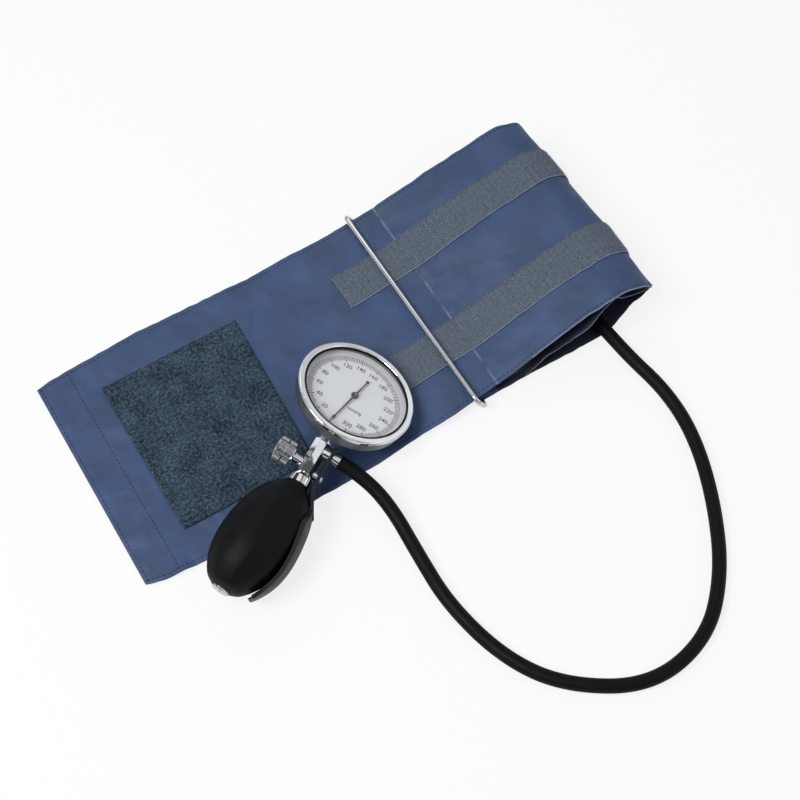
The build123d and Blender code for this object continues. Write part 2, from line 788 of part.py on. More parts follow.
with BuildPart() as movement_pillars:
    with BuildSketch(gauge.offset(bottom_plate_top)):
        with Locations(*post_spots):
            Circle(post_radius)
            Circle(screw_radius + running_gap, mode=Mode.SUBTRACT)
    extrude(amount=top_plate_top - plate_thick - bottom_plate_top)
movement_pillars.part.label = "movement_pillars"

screw_head = 0.3
with BuildPart() as movement_screws:
    with BuildSketch(gauge.offset(top_plate_top)):
        with Locations(*post_spots):
            Circle(2 * screw_radius)
    extrude(amount=screw_head)
    with BuildSketch(gauge.offset(bottom_plate_low - screw_depth)):
        with Locations(*post_spots):
            Circle(screw_radius)
    extrude(amount=top_plate_top - bottom_plate_low + screw_depth)
movement_screws.part.label = "movement_screws"

# Rocker: one arm over the capsule's pusher, one finger up beside the sector's tail
finger_height = 3.4
arm_low = -0.35
with BuildPart() as rocker_shaft:
    ring_of(rocker_axis_plane, -bearing_x - 1.2, bearing_x + 1.2, rocker_radius)
    with BuildSketch(gauge.offset(rocker_height + arm_low)):
        with Locations((0, rocker_y)):
            Rectangle(1.4, capsule_y - rocker_y + 0.7, align=(Align.CENTER, Align.MIN))
    extrude(amount=0.6)
    with BuildSketch(gauge.offset(rocker_height)):
        with Locations((-tail_radius, rocker_y)):
            Circle(finger_radius)
    extrude(amount=finger_height)
rocker_shaft.part.label = "rocker_shaft"

# Capsule: two thin corrugated skins soldered at the rim, hollow
capsule_seat = gauge.origin + gauge.y_dir * capsule_y + gauge.z_dir * case_floor
capsule_plane = Plane(origin=capsule_seat, x_dir=gauge.x_dir, z_dir=gauge.z_dir)
capsule_radius = floor_radius / 2 - capsule_inset
rim_half = 0.25
wave = 0.4
wave_radii = [0.25, 0.38, 0.52, 0.66, 0.8]


def capsule_skin_points(inset):
    low = [(capsule_radius * share, inset + wave * (i % 2)) for i, share in enumerate(wave_radii)]
    middle = capsule_height / 2
    high = [(r, capsule_height - h) for r, h in reversed(low)]
    rim_radius = capsule_radius - 2 * inset
    return (
        [(0, inset)] + low + [(rim_radius, middle - rim_half), (rim_radius, middle + rim_half)] + high
        + [(0, capsule_height - inset)]
    )


with BuildPart() as capsule:
    turned(capsule_plane, capsule_skin_points(0.0))
    turned(capsule_plane, capsule_skin_points(capsule_skin), mode=Mode.SUBTRACT)
capsule.part.label = "capsule"

pusher_top = rocker_height + arm_low - 0.25
with BuildPart() as capsule_pusher:
    ring_of(capsule_plane, capsule_height + 0.03, capsule_height + 0.45, 1.6)
    ring_of(capsule_plane, capsule_height + 0.3, pusher_top - case_floor, 0.5)
capsule_pusher.part.label = "capsule_pusher"

# Release valve, along its own axis out of the body's left side
needle_end = 3.0
peg_radius = 0.6
peg_length = 0.6
with BuildPart() as needle_seat:
    ring_of(release, 0.3, 1.1, cross_bore - running_gap, 0.8)
needle_seat.part.label = "needle_seat"

with BuildPart() as release_needle:
    turned(
        release,
        [
            (0, -0.2), (0.1, -0.2), (0.75, 1.1), (1.5, 2.6), (1.5, needle_end), (peg_radius, needle_end),
            (peg_radius, needle_end + peg_length), (0, needle_end + peg_length),
        ],
    )
release_needle.part.label = "release_needle"

spindle_low = needle_end + running_gap
peg_socket_end = needle_end + peg_length + running_gap
knob_end = knob_start + knob_length
spindle_end = knob_end - 3.0
with BuildPart() as release_spindle:
    ring_of(release, spindle_low, spindle_end, spindle_radius)
    ring_of(release, spindle_low, peg_socket_end, peg_radius + running_gap, mode=Mode.SUBTRACT)
release_spindle.part.label = "release_spindle"

gland_low = half_flats + running_gap
with BuildPart() as release_gland:
    ring_of(release, spindle_low + 0.2, gland_top, cross_bore - running_gap, spindle_radius + running_gap)
    ring_of(release, gland_low, gland_top, gland_radius, spindle_radius + running_gap)
release_gland.part.label = "release_gland"

groove_low = knob_start + (knob_length - groove_width) / 2
groove_high = groove_low + groove_width
groove_floor = knob_radius - groove_depth
knob_bore = spindle_radius + 0.01
with BuildPart() as release_knob:
    turned(
        release,
        [
            (knob_bore, knob_start), (knob_radius - 1.6, knob_start), (knob_radius, knob_start + 1.2),
            (knob_radius, groove_low), (groove_floor, groove_low), (groove_floor, groove_high),
            (knob_radius, groove_high), (knob_radius, knob_end - 0.8), (knob_radius - 0.8, knob_end),
            (0, knob_end), (0, spindle_end + fit_gap), (knob_bore, spindle_end + fit_gap),
        ],
    )
release_knob.part.label = "release_knob"

# Hose connector: stub in the body, washer and collar, and the barb inside the hose
barb_radius = hose_bore / 2 - running_gap
barb_top = collar_end + barb_length
washer_radius = collar_radius - 0.8
washer_top = collar_base + 1.3
stub_radius = stub_bore - running_gap
stub_start = body_air_bore + 0.8
with BuildPart() as hose_barb:
    turned(
        connector,
        [
            (barb_bore, stub_start), (stub_radius, stub_start), (stub_radius, collar_base),
            (washer_radius, collar_base), (washer_radius, washer_top),
            (collar_radius, washer_top), (collar_radius, collar_end), (barb_radius, collar_end),
            (barb_radius, barb_top - 1.5), (barb_radius - 0.5, barb_top), (barb_bore, barb_top),
        ],
    )
hose_barb.part.label = "hose_barb"

head_radius = 2.0
head_low = spoon_outer + running_gap
head_high = spoon_outer + 1.3
with BuildPart() as spoon_screw:
    ring_of(spoon_fixing, screw_bore_from + 0.2, head_low, screw_bore - running_gap)
    turned(
        spoon_fixing,
        [
            (0, head_low), (head_radius, head_low), (head_radius, head_low + 0.75),
            (head_radius - 0.6, head_high), (0, head_high),
        ],
    )
spoon_screw.part.label = "spoon_screw"

# Nipple in the body's lower end, with the outlet valve inside
nipple_start = body_length - lower_bore_depth + 0.2
nipple_end = body_length + nipple_length
outlet_seat = nipple_end - 6.0
outlet_chamber = outlet_seat - 8.0
seat_radius = 1.0
chamber_radius = 1.9
ball_sink = sqrt(ball_radius**2 - seat_radius**2)
with BuildPart() as outlet_nipple:
    ring_of(valve, nipple_start, nipple_end, nipple_radius - running_gap)
    ring_of(valve, nipple_start, nipple_end, seat_radius, mode=Mode.SUBTRACT)
    ring_of(valve, outlet_chamber, outlet_seat, chamber_radius, mode=Mode.SUBTRACT)
outlet_nipple.part.label = "outlet_nipple"

outlet_ball_at = outlet_seat - ball_sink - 0.03
with BuildPart() as outlet_valve_ball:
    with Locations(valve.offset(outlet_ball_at).location):
        Sphere(ball_radius)
outlet_valve_ball.part.label = "outlet_valve_ball"

spring_wire = 0.15
coil_radius = chamber_radius - spring_wire - 0.35
coil_low = outlet_chamber + spring_wire + 0.05
coil_high = outlet_ball_at - sqrt(ball_radius**2 - coil_radius**2) - spring_wire - 0.2
coil_count = 5
with BuildPart() as outlet_valve_spring:
    with BuildLine() as coil_line:
        Helix(pitch=(coil_high - coil_low) / coil_count, height=coil_high - coil_low, radius=coil_radius)
    coil_path = coil_line.edges()[0].moved(valve.offset(coil_low).location)
    with BuildSketch(Plane(origin=coil_path @ 0, z_dir=coil_path % 0)):
        Circle(spring_wire)
    sweep(path=coil_path, is_frenet=True)
outlet_valve_spring.part.label = "outlet_valve_spring"

# Bulb: an egg of black rubber, hollow, seated on the nipple and holding the inlet valve in its tail
bulb_outline = [
    (5.2, bulb_mouth), (9.6, 4.0), (12.9, 8.0), (16.4, 14.0), (19.7, 25.0), (bulb_radius, 38.0), (19.7, 50.0),
    (16.6, 60.0), (11.4, 68.0), (6.2, bulb_length),
]
bulb_cavity = [
    (0, 10.4), (5.0, 11.0), (13.4, 17.0), (17.1, 26.5), (bulb_radius - bulb_wall, 38.0), (17.0, 49.5),
    (13.6, 58.5), (6.0, 62.4), (0, 62.6),
]
side_of_bulb = Plane(
    origin=bulb_plane.origin, x_dir=bulb_plane.x_dir, z_dir=bulb_plane.x_dir.cross(bulb_plane.z_dir)
)
bulb_line = Axis(bulb_plane.origin, bulb_plane.z_dir)
with BuildPart() as bulb:
    with BuildSketch(side_of_bulb):
        with BuildLine():
            Spline(*bulb_outline)
            Polyline(bulb_outline[-1], (0, bulb_length), (0, bulb_mouth), bulb_outline[0])
        make_face()
    revolve(axis=bulb_line)
    split(bisect_by=neck.offset(running_gap), keep=Keep.TOP)
    with BuildSketch(side_of_bulb):
        with BuildLine():
            Spline(*bulb_cavity)
            Line(bulb_cavity[-1], bulb_cavity[0])
        make_face()
    revolve(axis=bulb_line, mode=Mode.SUBTRACT)
    ring_of(neck, -1, 13, nipple_radius + running_gap, mode=Mode.SUBTRACT)
    ring_of(bulb_plane, 58, bulb_length + 1, plug_radius + running_gap, mode=Mode.SUBTRACT)
bulb.part.label = "bulb"

# Spoon: a strip of black plastic down the valve body, then a leaf that cups round the bulb's right side
spoon_middle = spoon_inner + spoon_thick / 2
neck_path_points = [
    (spoon_middle, 0.6), (spoon_middle, body_length - 1.2), (12.0, body_length + 6.7),
    (16.5, body_length + 14.4),
]
leaf_stations = bulb_outline[2:2 + len(leaf_gaps)]
leaf_line = [(r + gap + leaf_thick / 2, s) for (r, s), gap in zip(leaf_stations, leaf_gaps)]
leaf_line.append((leaf_end_radius, leaf_end_at))
spoon_plane = Plane(origin=valve.origin, x_dir=to_hose, z_dir=to_hose.cross(valve.z_dir))
leaf_plane = Plane(origin=valve.origin, x_dir=pump_front, z_dir=pump_front.cross(valve.z_dir))
leaf_neck = body_length + 4.0
leaf_widest = body_length + 24.0
leaf_narrows = body_length + 56.0
leaf_tip = body_length + 72.0
leaf_ease = 9.0
tip_half = 8.0
peg_hole = 2.0
screw_hole = 1.3
with BuildPart() as spoon:
    with BuildSketch(side_of_bulb):
        with BuildLine():
            Spline(*leaf_line)
        trace(line_width=leaf_thick)
    revolve(axis=bulb_line)
    with BuildSketch(leaf_plane):
        with BuildLine():
            for side in (1, -1):
                half = side * leaf_width / 2
                neck_half = side * spoon_neck_width / 2
                Line((0, leaf_neck), (neck_half, leaf_neck))
                Bezier(
                    (neck_half, leaf_neck), (neck_half, leaf_neck + leaf_ease),
                    (half, leaf_widest - leaf_ease), (half, leaf_widest),
                )
                Bezier(
                    (half, leaf_widest), (half, leaf_narrows), (side * tip_half, leaf_tip), (0, leaf_tip)
                )
        make_face()
    extrude(amount=2 * bulb_radius, mode=Mode.INTERSECT)
    with BuildSketch(spoon_plane):
        with BuildLine():
            FilletPolyline(*neck_path_points, radius=corner_radii(neck_path_points, 0.4))
        trace(line_width=spoon_thick)
    extrude(amount=spoon_neck_width / 2, both=True)
    ring_of(connector, spoon_inner - 1, spoon_outer + 1, peg_hole, mode=Mode.SUBTRACT)
    ring_of(spoon_fixing, spoon_inner - 1, spoon_outer + 1, screw_hole, mode=Mode.SUBTRACT)
spoon.part.label = "spoon"

# Inlet valve in the bulb's tail: a plug with a ball that lets air in only
plug_start = bulb_length - 10.4
plug_end = bulb_length + 1.2
inlet_seat = bulb_length - 5.6
inlet_sink = sqrt(ball_radius**2 - plug_hole**2)
inlet_ball_at = inlet_seat - inlet_sink - 0.03
inlet_chamber = inlet_ball_at - ball_radius - ball_travel - 0.05
with BuildPart() as inlet_valve_plug:
    ring_of(bulb_plane, plug_start, bulb_length + 0.2, plug_radius)
    turned(
        bulb_plane,
        [
            (0, bulb_length + running_gap), (plug_flange_radius, bulb_length + running_gap),
            (plug_flange_radius, plug_end - 0.4), (plug_flange_radius - 0.4, plug_end), (0, plug_end),
        ],
    )
    ring_of(bulb_plane, plug_start, plug_end, plug_hole, mode=Mode.SUBTRACT)
    ring_of(bulb_plane, inlet_chamber, inlet_seat, chamber_radius, mode=Mode.SUBTRACT)
inlet_valve_plug.part.label = "inlet_valve_plug"

with BuildPart() as inlet_valve_ball:
    with Locations(bulb_plane.offset(inlet_ball_at).location):
        Sphere(ball_radius)
inlet_valve_ball.part.label = "inlet_valve_ball"

pieces = [
    cuff_outer_fabric, cuff_lining, bladder, bladder_port, loop_pile_patch, cuff_ring, hose,
    valve_body, needle_seat, release_needle, release_spindle, release_gland, release_knob,
    hose_barb, spoon, spoon_screw, outlet_nipple, outlet_valve_ball, outlet_valve_spring,
    bulb, inlet_valve_plug, inlet_valve_ball,
    gauge_case, gauge_socket, bezel_ring, lens, lens_gasket, dial_plate, pointer, pointer_arbor,
    sector_gear, hairspring, bottom_plate, top_plate, case_posts, movement_pillars, movement_screws,
    rocker_shaft, capsule, capsule_pusher,
]
for piece in [builder.part for builder in pieces] + list(hook_strips.values()):
    export_step(piece, f"parts/{piece.label}.step")
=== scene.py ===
import bpy
import math
import numpy as np
from mathutils import Matrix, Vector, noise


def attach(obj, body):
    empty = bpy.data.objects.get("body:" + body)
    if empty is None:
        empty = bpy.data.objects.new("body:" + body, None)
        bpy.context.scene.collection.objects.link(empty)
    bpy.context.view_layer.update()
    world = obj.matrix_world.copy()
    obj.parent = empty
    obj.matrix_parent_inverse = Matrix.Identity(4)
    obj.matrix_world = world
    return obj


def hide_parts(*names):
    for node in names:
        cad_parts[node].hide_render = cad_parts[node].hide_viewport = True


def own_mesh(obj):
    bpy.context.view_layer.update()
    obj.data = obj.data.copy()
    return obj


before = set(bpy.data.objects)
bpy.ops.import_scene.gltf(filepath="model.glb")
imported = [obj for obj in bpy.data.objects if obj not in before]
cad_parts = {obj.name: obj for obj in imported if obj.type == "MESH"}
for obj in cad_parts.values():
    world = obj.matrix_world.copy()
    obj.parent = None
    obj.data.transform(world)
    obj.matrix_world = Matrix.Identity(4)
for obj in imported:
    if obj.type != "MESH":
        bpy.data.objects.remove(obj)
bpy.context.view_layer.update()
mm = 0.001
print("frame loaded,", len(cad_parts), "nodes")


def linearColour(code):
    parts = [int(code[i:i + 2], 16) / 255 for i in (1, 3, 5)]
    return tuple(p / 12.92 if p <= 0.04045 else ((p + 0.055) / 1.055) ** 2.4 for p in parts) + (1.0,)


def setInput(tree, node, name, value):
    # sets an input, or links it to another node's output: its first one, where the node itself is given
    if isinstance(value, bpy.types.Node):
        value = value.outputs[0]
    if isinstance(value, bpy.types.NodeSocket):
        tree.links.new(value, node.inputs[name])
    else:
        node.inputs[name].default_value = value


def addNode(tree, kind, links=None, **settings):
    node = tree.nodes.new(kind)
    for name, value in settings.items():
        setattr(node, name, value)
    for name, value in (links or {}).items():
        setInput(tree, node, name, value)
    return node


def addObject(name, data):
    thing = bpy.data.objects.new(name, data)
    bpy.context.scene.collection.objects.link(thing)
    return thing


def shade(mesh, smoothly):
    mesh.polygons.foreach_set("use_smooth", [smoothly] * len(mesh.polygons))


def joined(parts):
    # the parts as one object, under the name of the first
    bpy.ops.object.select_all(action="DESELECT")
    for part in parts:
        part.select_set(True)
    bpy.context.view_layer.objects.active = parts[0]
    bpy.ops.object.join()
    return parts[0]


# Camera
cameraView = {
    "lens": 65.0,
    "sensor": 36.0,
    "place": (-0.297169, -0.375600, 0.745036),
    "right": (0.85341694, -0.52122886, 0.0),
    "up": (0.46233565, 0.75699007, 0.46174861),
    "back": (-0.2406767, -0.39406409, 0.88701083),
}
cameraData = bpy.data.cameras.new("photoCamera")
cameraData.lens = cameraView["lens"]
cameraData.sensor_width = cameraView["sensor"]
cameraData.clip_start = 0.01
camera = addObject("photoCamera", cameraData)
turn = Matrix((cameraView["right"], cameraView["up"], cameraView["back"])).transposed()
camera.matrix_world = Matrix.Translation(cameraView["place"]) @ turn.to_4x4()
bpy.context.scene.camera = camera
bpy.context.scene.view_settings.view_transform = "Standard"
print("camera placed")


# Materials
wavePitch = 0.314159  # the scale at which one band of a wave texture is one unit wide


def startMaterial(name):
    material = bpy.data.materials.new(name)
    material.use_nodes = True
    tree = material.node_tree
    shader = next(n for n in tree.nodes if n.type == "BSDF_PRINCIPLED")
    return material, tree, shader


def setShader(tree, shader, **values):
    # sets or links the inputs that are named, with _ for a space
    for name, value in values.items():
        setInput(tree, shader, name.replace("_", " "), value)


def surfaceEnd(tree, mixed):
    end = next(n for n in tree.nodes if n.type == "OUTPUT_MATERIAL")
    setInput(tree, end, "Surface", mixed)


def eitherRay(tree, first, second):
    rays = addNode(tree, "ShaderNodeLightPath").outputs
    kinds = {0: rays["Is %s Ray" % first], 1: rays["Is %s Ray" % second]}
    return addNode(tree, "ShaderNodeMath", kinds, operation="MAXIMUM")


def wovenCloth(name, look):
    # plain woven nylon with a thin coating: its colour painted lighter and darker in broad patches as painted
    # light and shade, tiny over-under threads, a soft satin glow
    material, tree, shader = startMaterial(name)
    cloth = addNode(tree, "ShaderNodeUVMap", uv_map="clothMap")
    threads = [
        addNode(
            tree, "ShaderNodeTexWave", {"Vector": cloth, "Scale": wavePitch / look["threadMm"] / mm},
            wave_type="BANDS", bands_direction=direction, wave_profile="SIN",
        ).outputs["Fac"]
        for direction in ("X", "Y")
    ]
    weave = addNode(tree, "ShaderNodeMath", {0: threads[0], 1: threads[1]}, operation="MAXIMUM")
    patches = addNode(
        tree, "ShaderNodeTexNoise", {"Vector": cloth, "Scale": 1 / look["patchMm"] / mm, "Detail": 3.0}
    )
    slubs = addNode(
        tree, "ShaderNodeTexNoise", {"Vector": cloth, "Scale": 1 / look["slubMm"] / mm, "Detail": 2.0}
    )
    # broad lighter and darker patches of colour: painted light and shade, standing in for how the weave
    # catches the light
    paintedShadeMottle = addNode(tree, "ShaderNodeMapRange", {"Value": patches, "From Min": 0.32, "From Max": 0.68})
    tone = addNode(
        tree, "ShaderNodeMix",
        {0: paintedShadeMottle, 6: linearColour(look["dark"]), 7: linearColour(look["light"])},
        data_type="RGBA",
    )
    grain = addNode(
        tree, "ShaderNodeMapRange", {"Value": weave, "To Min": look["threadShade"], "To Max": 1.0}
    )
    colour = addNode(
        tree, "ShaderNodeMix", {0: 1.0, 6: tone.outputs[2], 7: grain}, data_type="RGBA", blend_type="MULTIPLY"
    )
    last = colour.outputs[2]
    for streak in look.get("chalk", ()):
        # a faint tailor's chalk streak along a seam, broken where the cloth was rubbed
        parts = addNode(tree, "ShaderNodeSeparateXYZ", {0: cloth})
        away = addNode(
            tree, "ShaderNodeMath", {0: parts.outputs["X"], 1: streak["along"] * mm, 2: streak["width"] * mm},
            operation="COMPARE",
        )
        rubbed = addNode(
            tree, "ShaderNodeTexNoise", {"Vector": cloth, "Scale": 1 / streak["rubMm"] / mm, "Detail": 4.0}
        )
        strength = addNode(
            tree, "ShaderNodeMapRange",
            {"Value": rubbed, "From Min": 0.36, "From Max": 0.62, "To Min": 0.0,
             "To Max": streak["strength"]},
        )
        amount = addNode(tree, "ShaderNodeMath", {0: away, 1: strength}, operation="MULTIPLY")
        last = addNode(
            tree, "ShaderNodeMix", {0: amount, 6: last, 7: linearColour(streak["colour"])}, data_type="RGBA"
        ).outputs[2]
    rough = addNode(
        tree, "ShaderNodeMapRange",
        {"Value": patches, "To Min": look["rough"] - 0.06, "To Max": look["rough"] + 0.08},
    )
    # soft rumples, then the threads over them
    lie = {}
    for rumple in look["rumples"]:
        swell = addNode(
            tree, "ShaderNodeTexNoise",
            {"Vector": cloth, "Scale": 1 / rumple["mm"] / mm, "Detail": 2.0, "Distortion": 0.4},
        )
        soft = addNode(
            tree, "ShaderNodeBump", {"Strength": 1.0, "Distance": rumple["deep"] * mm, "Height": swell, **lie}
        )
        lie = {"Normal": soft}
    height = addNode(tree, "ShaderNodeMath", {0: weave, 1: slubs}, operation="ADD")
    bump = addNode(
        tree, "ShaderNodeBump", {"Strength": look["bump"], "Distance": 0.1 * mm, "Height": height, **lie}
    )
    setShader(
        tree, shader, Base_Color=last, Roughness=rough, Normal=bump, IOR=1.53,
        Sheen_Weight=look["sheen"], Sheen_Roughness=0.4, Sheen_Tint=linearColour("#B8C6E0"),
    )
    return material


def grainedMaterial(name, look, wide, fine, gloss, deep):
    # a colour that drifts between two tones, its gloss with it, under a fine grain
    material, tree, shader = startMaterial(name)
    place = addNode(tree, "ShaderNodeTexCoord").outputs["Object"]
    drifts, grain = (
        addNode(tree, "ShaderNodeTexNoise", {"Vector": place, "Scale": 1 / size / mm, "Detail": detail})
        for size, detail in (wide, fine)
    )
    colour = addNode(
        tree, "ShaderNodeMix",
        {0: drifts, 6: linearColour(look["dark"]), 7: linearColour(look["light"])},
        data_type="RGBA",
    )
    rough = addNode(
        tree, "ShaderNodeMapRange",
        {"Value": drifts, "From Min": 0.3, "From Max": 0.7, "To Min": gloss[0],
         "To Max": gloss[1]},
    )
    bump = addNode(tree, "ShaderNodeBump", {"Strength": look["bump"], "Distance": deep * mm, "Height": grain})
    setShader(tree, shader, Base_Color=colour.outputs[2], Roughness=rough, Normal=bump)
    return material, tree, shader


def speckledMaterial(name, look):
    # rubber, plastic and paint: one colour with fine moulding grain, faint dust bloom and uneven gloss
    gloss = (look["rough"] - look["roughSpread"], look["rough"] + look["roughSpread"])
    material, tree, shader = grainedMaterial(
        name, look, (look["bloomMm"], 4.0), (look["grainMm"], 2.0), gloss, 0.05
    )
    setShader(tree, shader, IOR=look["ior"], Specular_IOR_Level=look.get("specular", 0.5))
    return material


def metalMaterial(name, look):
    # plated or turned metal: its colour in the reflections, polishing marks or turning lines in the gloss
    material, tree, shader = grainedMaterial(
        name, look, (look["smudgeMm"], 3.0), (look["grainMm"], look.get("detail", 3.0)),
        (look["smooth"], look["rough"]), look.get("deep", 0.03),
    )
    setShader(tree, shader, Metallic=1.0)
    return material


print("material builders ready")

# Cuff line
cuffShape = {
    "halfWidth": 70.0,
    "thick": 0.8,
    "cornerShare": 0.42,
    "arcSteps": 10,
    "runStep": 1.5,
    "hemAxis": (-55.5, 2.38),
    "hemRadius": 2.38,
    "frontEdge": [
        (-272.6, 1.7), (-118.0, 1.7), (-90.0, 4.2), (-61.0, 9.4), (-40.0, 11.2), (-21.0, 20.5), (4.0, 30.5),
        (28.0, 36.6), (46.0, 40.2), (60.0, 35.0), (67.5, 20.0), (63.0, 4.0), (48.0, 0.0), (-55.5, 0.0),
    ],
    "backEdge": [
        (-272.6, 1.7), (-120.0, 1.7), (-92.0, 7.2), (-61.0, 11.2), (-40.0, 15.4), (-19.0, 23.5), (3.0, 29.5),
        (25.0, 33.8), (43.0, 38.3), (58.0, 33.5), (66.5, 20.0), (62.0, 4.0), (47.0, 0.0), (-55.5, 0.0),
    ],
    "flap": [(-55.5, 4.76), (-52.5, 4.5), (-49.0, 2.9), (-43.5, 2.75)],
    "flapRuns": [3, 3, 4],
    "hemSteps": 24,
}


def roundedLine(points, share, arcSteps, runCounts):
    # a polyline with tangent arcs at its corners, sampled so that two such lines match step by step
    points = [np.array(p, float) for p in points]
    ends = [points[0]]
    arcs = []
    for before, corner, after in zip(points, points[1:], points[2:]):
        arrive = corner - before
        leave = after - corner
        reach = share * min(np.linalg.norm(arrive), np.linalg.norm(leave))
        arrive = arrive / np.linalg.norm(arrive)
        leave = leave / np.linalg.norm(leave)
        turned = math.atan2(arrive[0] * leave[1] - arrive[1] * leave[0], arrive @ leave)
        start = corner - arrive * reach
        if abs(turned) < 1e-4:
            arc = [start + (corner + leave * reach - start) * k / arcSteps for k in range(arcSteps + 1)]
        else:
            radius = reach / math.tan(abs(turned) / 2)
            side = np.array([-arrive[1], arrive[0]]) * math.copysign(1, turned)
            centre = start + side * radius
            arm = start - centre
            arc = []
            for k in range(arcSteps + 1):
                c, s = math.cos(turned * k / arcSteps), math.sin(turned * k / arcSteps)
                arc.append(centre + np.array([c * arm[0] - s * arm[1], s * arm[0] + c * arm[1]]))
        arcs.append(arc)
    line = [points[0]]
    for i, count in enumerate(runCounts):
        goal = arcs[i][0] if i < len(arcs) else points[-1]
        start = line[-1]
        line += [start + (goal - start) * k / count for k in range(1, count + 1)]
        if i < len(arcs):
            line += arcs[i][1:]
    return np.array(line)


def flapLine(shape):
    return roundedLine(shape["flap"], shape["cornerShare"], 6, shape["flapRuns"])[1:]


def cuffLines(shape):
    runs = zip(shape["frontEdge"], shape["frontEdge"][1:])
    counts = [max(2, round(math.dist(a, b) / shape["runStep"] / 2)) for a, b in runs]
    sides = []
    for key in ("frontEdge", "backEdge"):
        line = roundedLine(shape[key], shape["cornerShare"], shape["arcSteps"], counts)
        angles = np.radians(np.linspace(-90, -270, shape["hemSteps"] + 1)[1:])
        hem = np.array(shape["hemAxis"]) + shape["hemRadius"] * np.stack([np.cos(angles), np.sin(angles)], 1)
        flap = flapLine(shape)
        sides.append(np.concatenate([line, hem, flap]))
    return sides


def tangentsOf(line):
    step = np.linalg.norm(np.diff(line, axis=0), axis=1)
    at = np.concatenate([[0], np.cumsum(step)])
    slope = np.stack([np.gradient(line[:, 0], at), np.gradient(line[:, 1], at)], 1)
    return slope / np.linalg.norm(slope, axis=1)[:, None]


frontLine, backLine = cuffLines(cuffShape)
frontHeading, backHeading = tangentsOf(frontLine), tangentsOf(backLine)
middleLine = (frontLine + backLine) / 2
along = np.concatenate([[0], np.cumsum(np.linalg.norm(np.diff(middleLine, axis=0), axis=1))])
foldIndex = int(np.argmax(middleLine[:, 0]))
hemIndex = len(middleLine) - cuffShape["hemSteps"] - len(flapLine(cuffShape))
clothEnd = along[-1]
hemStart = along[hemIndex - 1]


def overAt(x):
    # distance along the cloth of a place on its top side
    return float(np.interp(x, middleLine[:foldIndex + 1, 0], along[:foldIndex + 1]))


def underAt(x):
    # the same for the lower panel
    part = slice(foldIndex, hemIndex)
    return float(np.interp(-x, -middleLine[part, 0], along[part]))


def smooth(value, low, high):
    t = np.clip((value - low) / (high - low), 0, 1)
    return t * t * (3 - 2 * t)


def drift(u, v, seed):
    # smooth noise, the same on every run
    flat = [noise.noise(Vector((a, b, seed))) for a, b in zip(np.ravel(u), np.ravel(v))]
    return np.array(flat).reshape(np.shape(u))


seamAt = overAt(-43.5)
foldAt = along[foldIndex]
underStart = underAt(47.0)
clothWaves = {
    "slackHeight": 1.7, "slackSize": (58.0, 44.0),
    "creaseHeight": 0.55, "creaseSize": (23.0, 15.0), "creaseSharp": 1.4, "creaseFrom": 0.12,
    "puckerHeight": 0.62, "puckerSize": 8.5, "puckerReach": 6.5, "puckerHeld": 0.55, "lean": 60.0,
    "edgeHeight": 1.3, "edgeSize": 24.0, "edgeReach": 13.0, "fineEdge": 9.0,
    "tongueHeight": 0.8, "tongueSize": (34.0, 24.0), "tipCrease": 0.9, "tipSize": (26.0, 7.0),
    "seamDip": 0.6, "seamWide": 1.3, "seamPucker": 0.8, "seamReach": 9.0, "seamSize": (30.0, 6.5),
    "stripMiddles": (32.0, -32.0), "stripHalf": 12.0,
    "riseAt": (-100.0, -45.0), "flatAt": (-125.0, -100.0), "ringAt": -61.5, "ringReach": 13.0,
    "pumpFrom": (-246.0, -228.0), "pumpTo": (-96.0, -76.0), "pumpSide": (2.0, 22.0),
    "overEnds": (-30.0, -4.0), "underStarts": (-25.0, 10.0), "underEnds": (-22.0, -8.0),
    "puckerGain": 1.6, "edgeGain": 1.4, "liftGain": 1.1, "underGain": 1.5, "pumpPress": 0.97,
    "sideDrift": 0.9, "scallop": 0.35, "scallopSize": 7.0,
    "tuckAt": [-40.0, -28.0, -17.0, -9.5, 0.0, 8.2, 16.9, 21.3, 30.5, 40.0],
    "tuck": [0.0, -1.4, -2.0, 2.0, 4.5, 5.75, 7.0, 6.25, 3.5, 0.0],
    "frontAt": [0.0, 4.0, 10.0, 17.0, 30.0, 125.0, 150.0, 165.0, 175.0, 206.0, 232.0],
    "frontOut": [0.0, 1.2, 3.0, 3.8, 4.8, 4.9, 3.8, 2.7, 1.8, 1.5, 0.0],
    "backAt": [0.0, 8.0, 24.0, 40.0, 87.0, 103.0, 119.0, 135.0, 167.0, 183.0, 214.0, 246.0, 262.0],
    "backOut": [0.5, 1.6, 2.9, 4.3, 5.2, 5.4, 4.9, 4.1, 3.4, 2.0, 1.1, 0.7, 0.0],
}


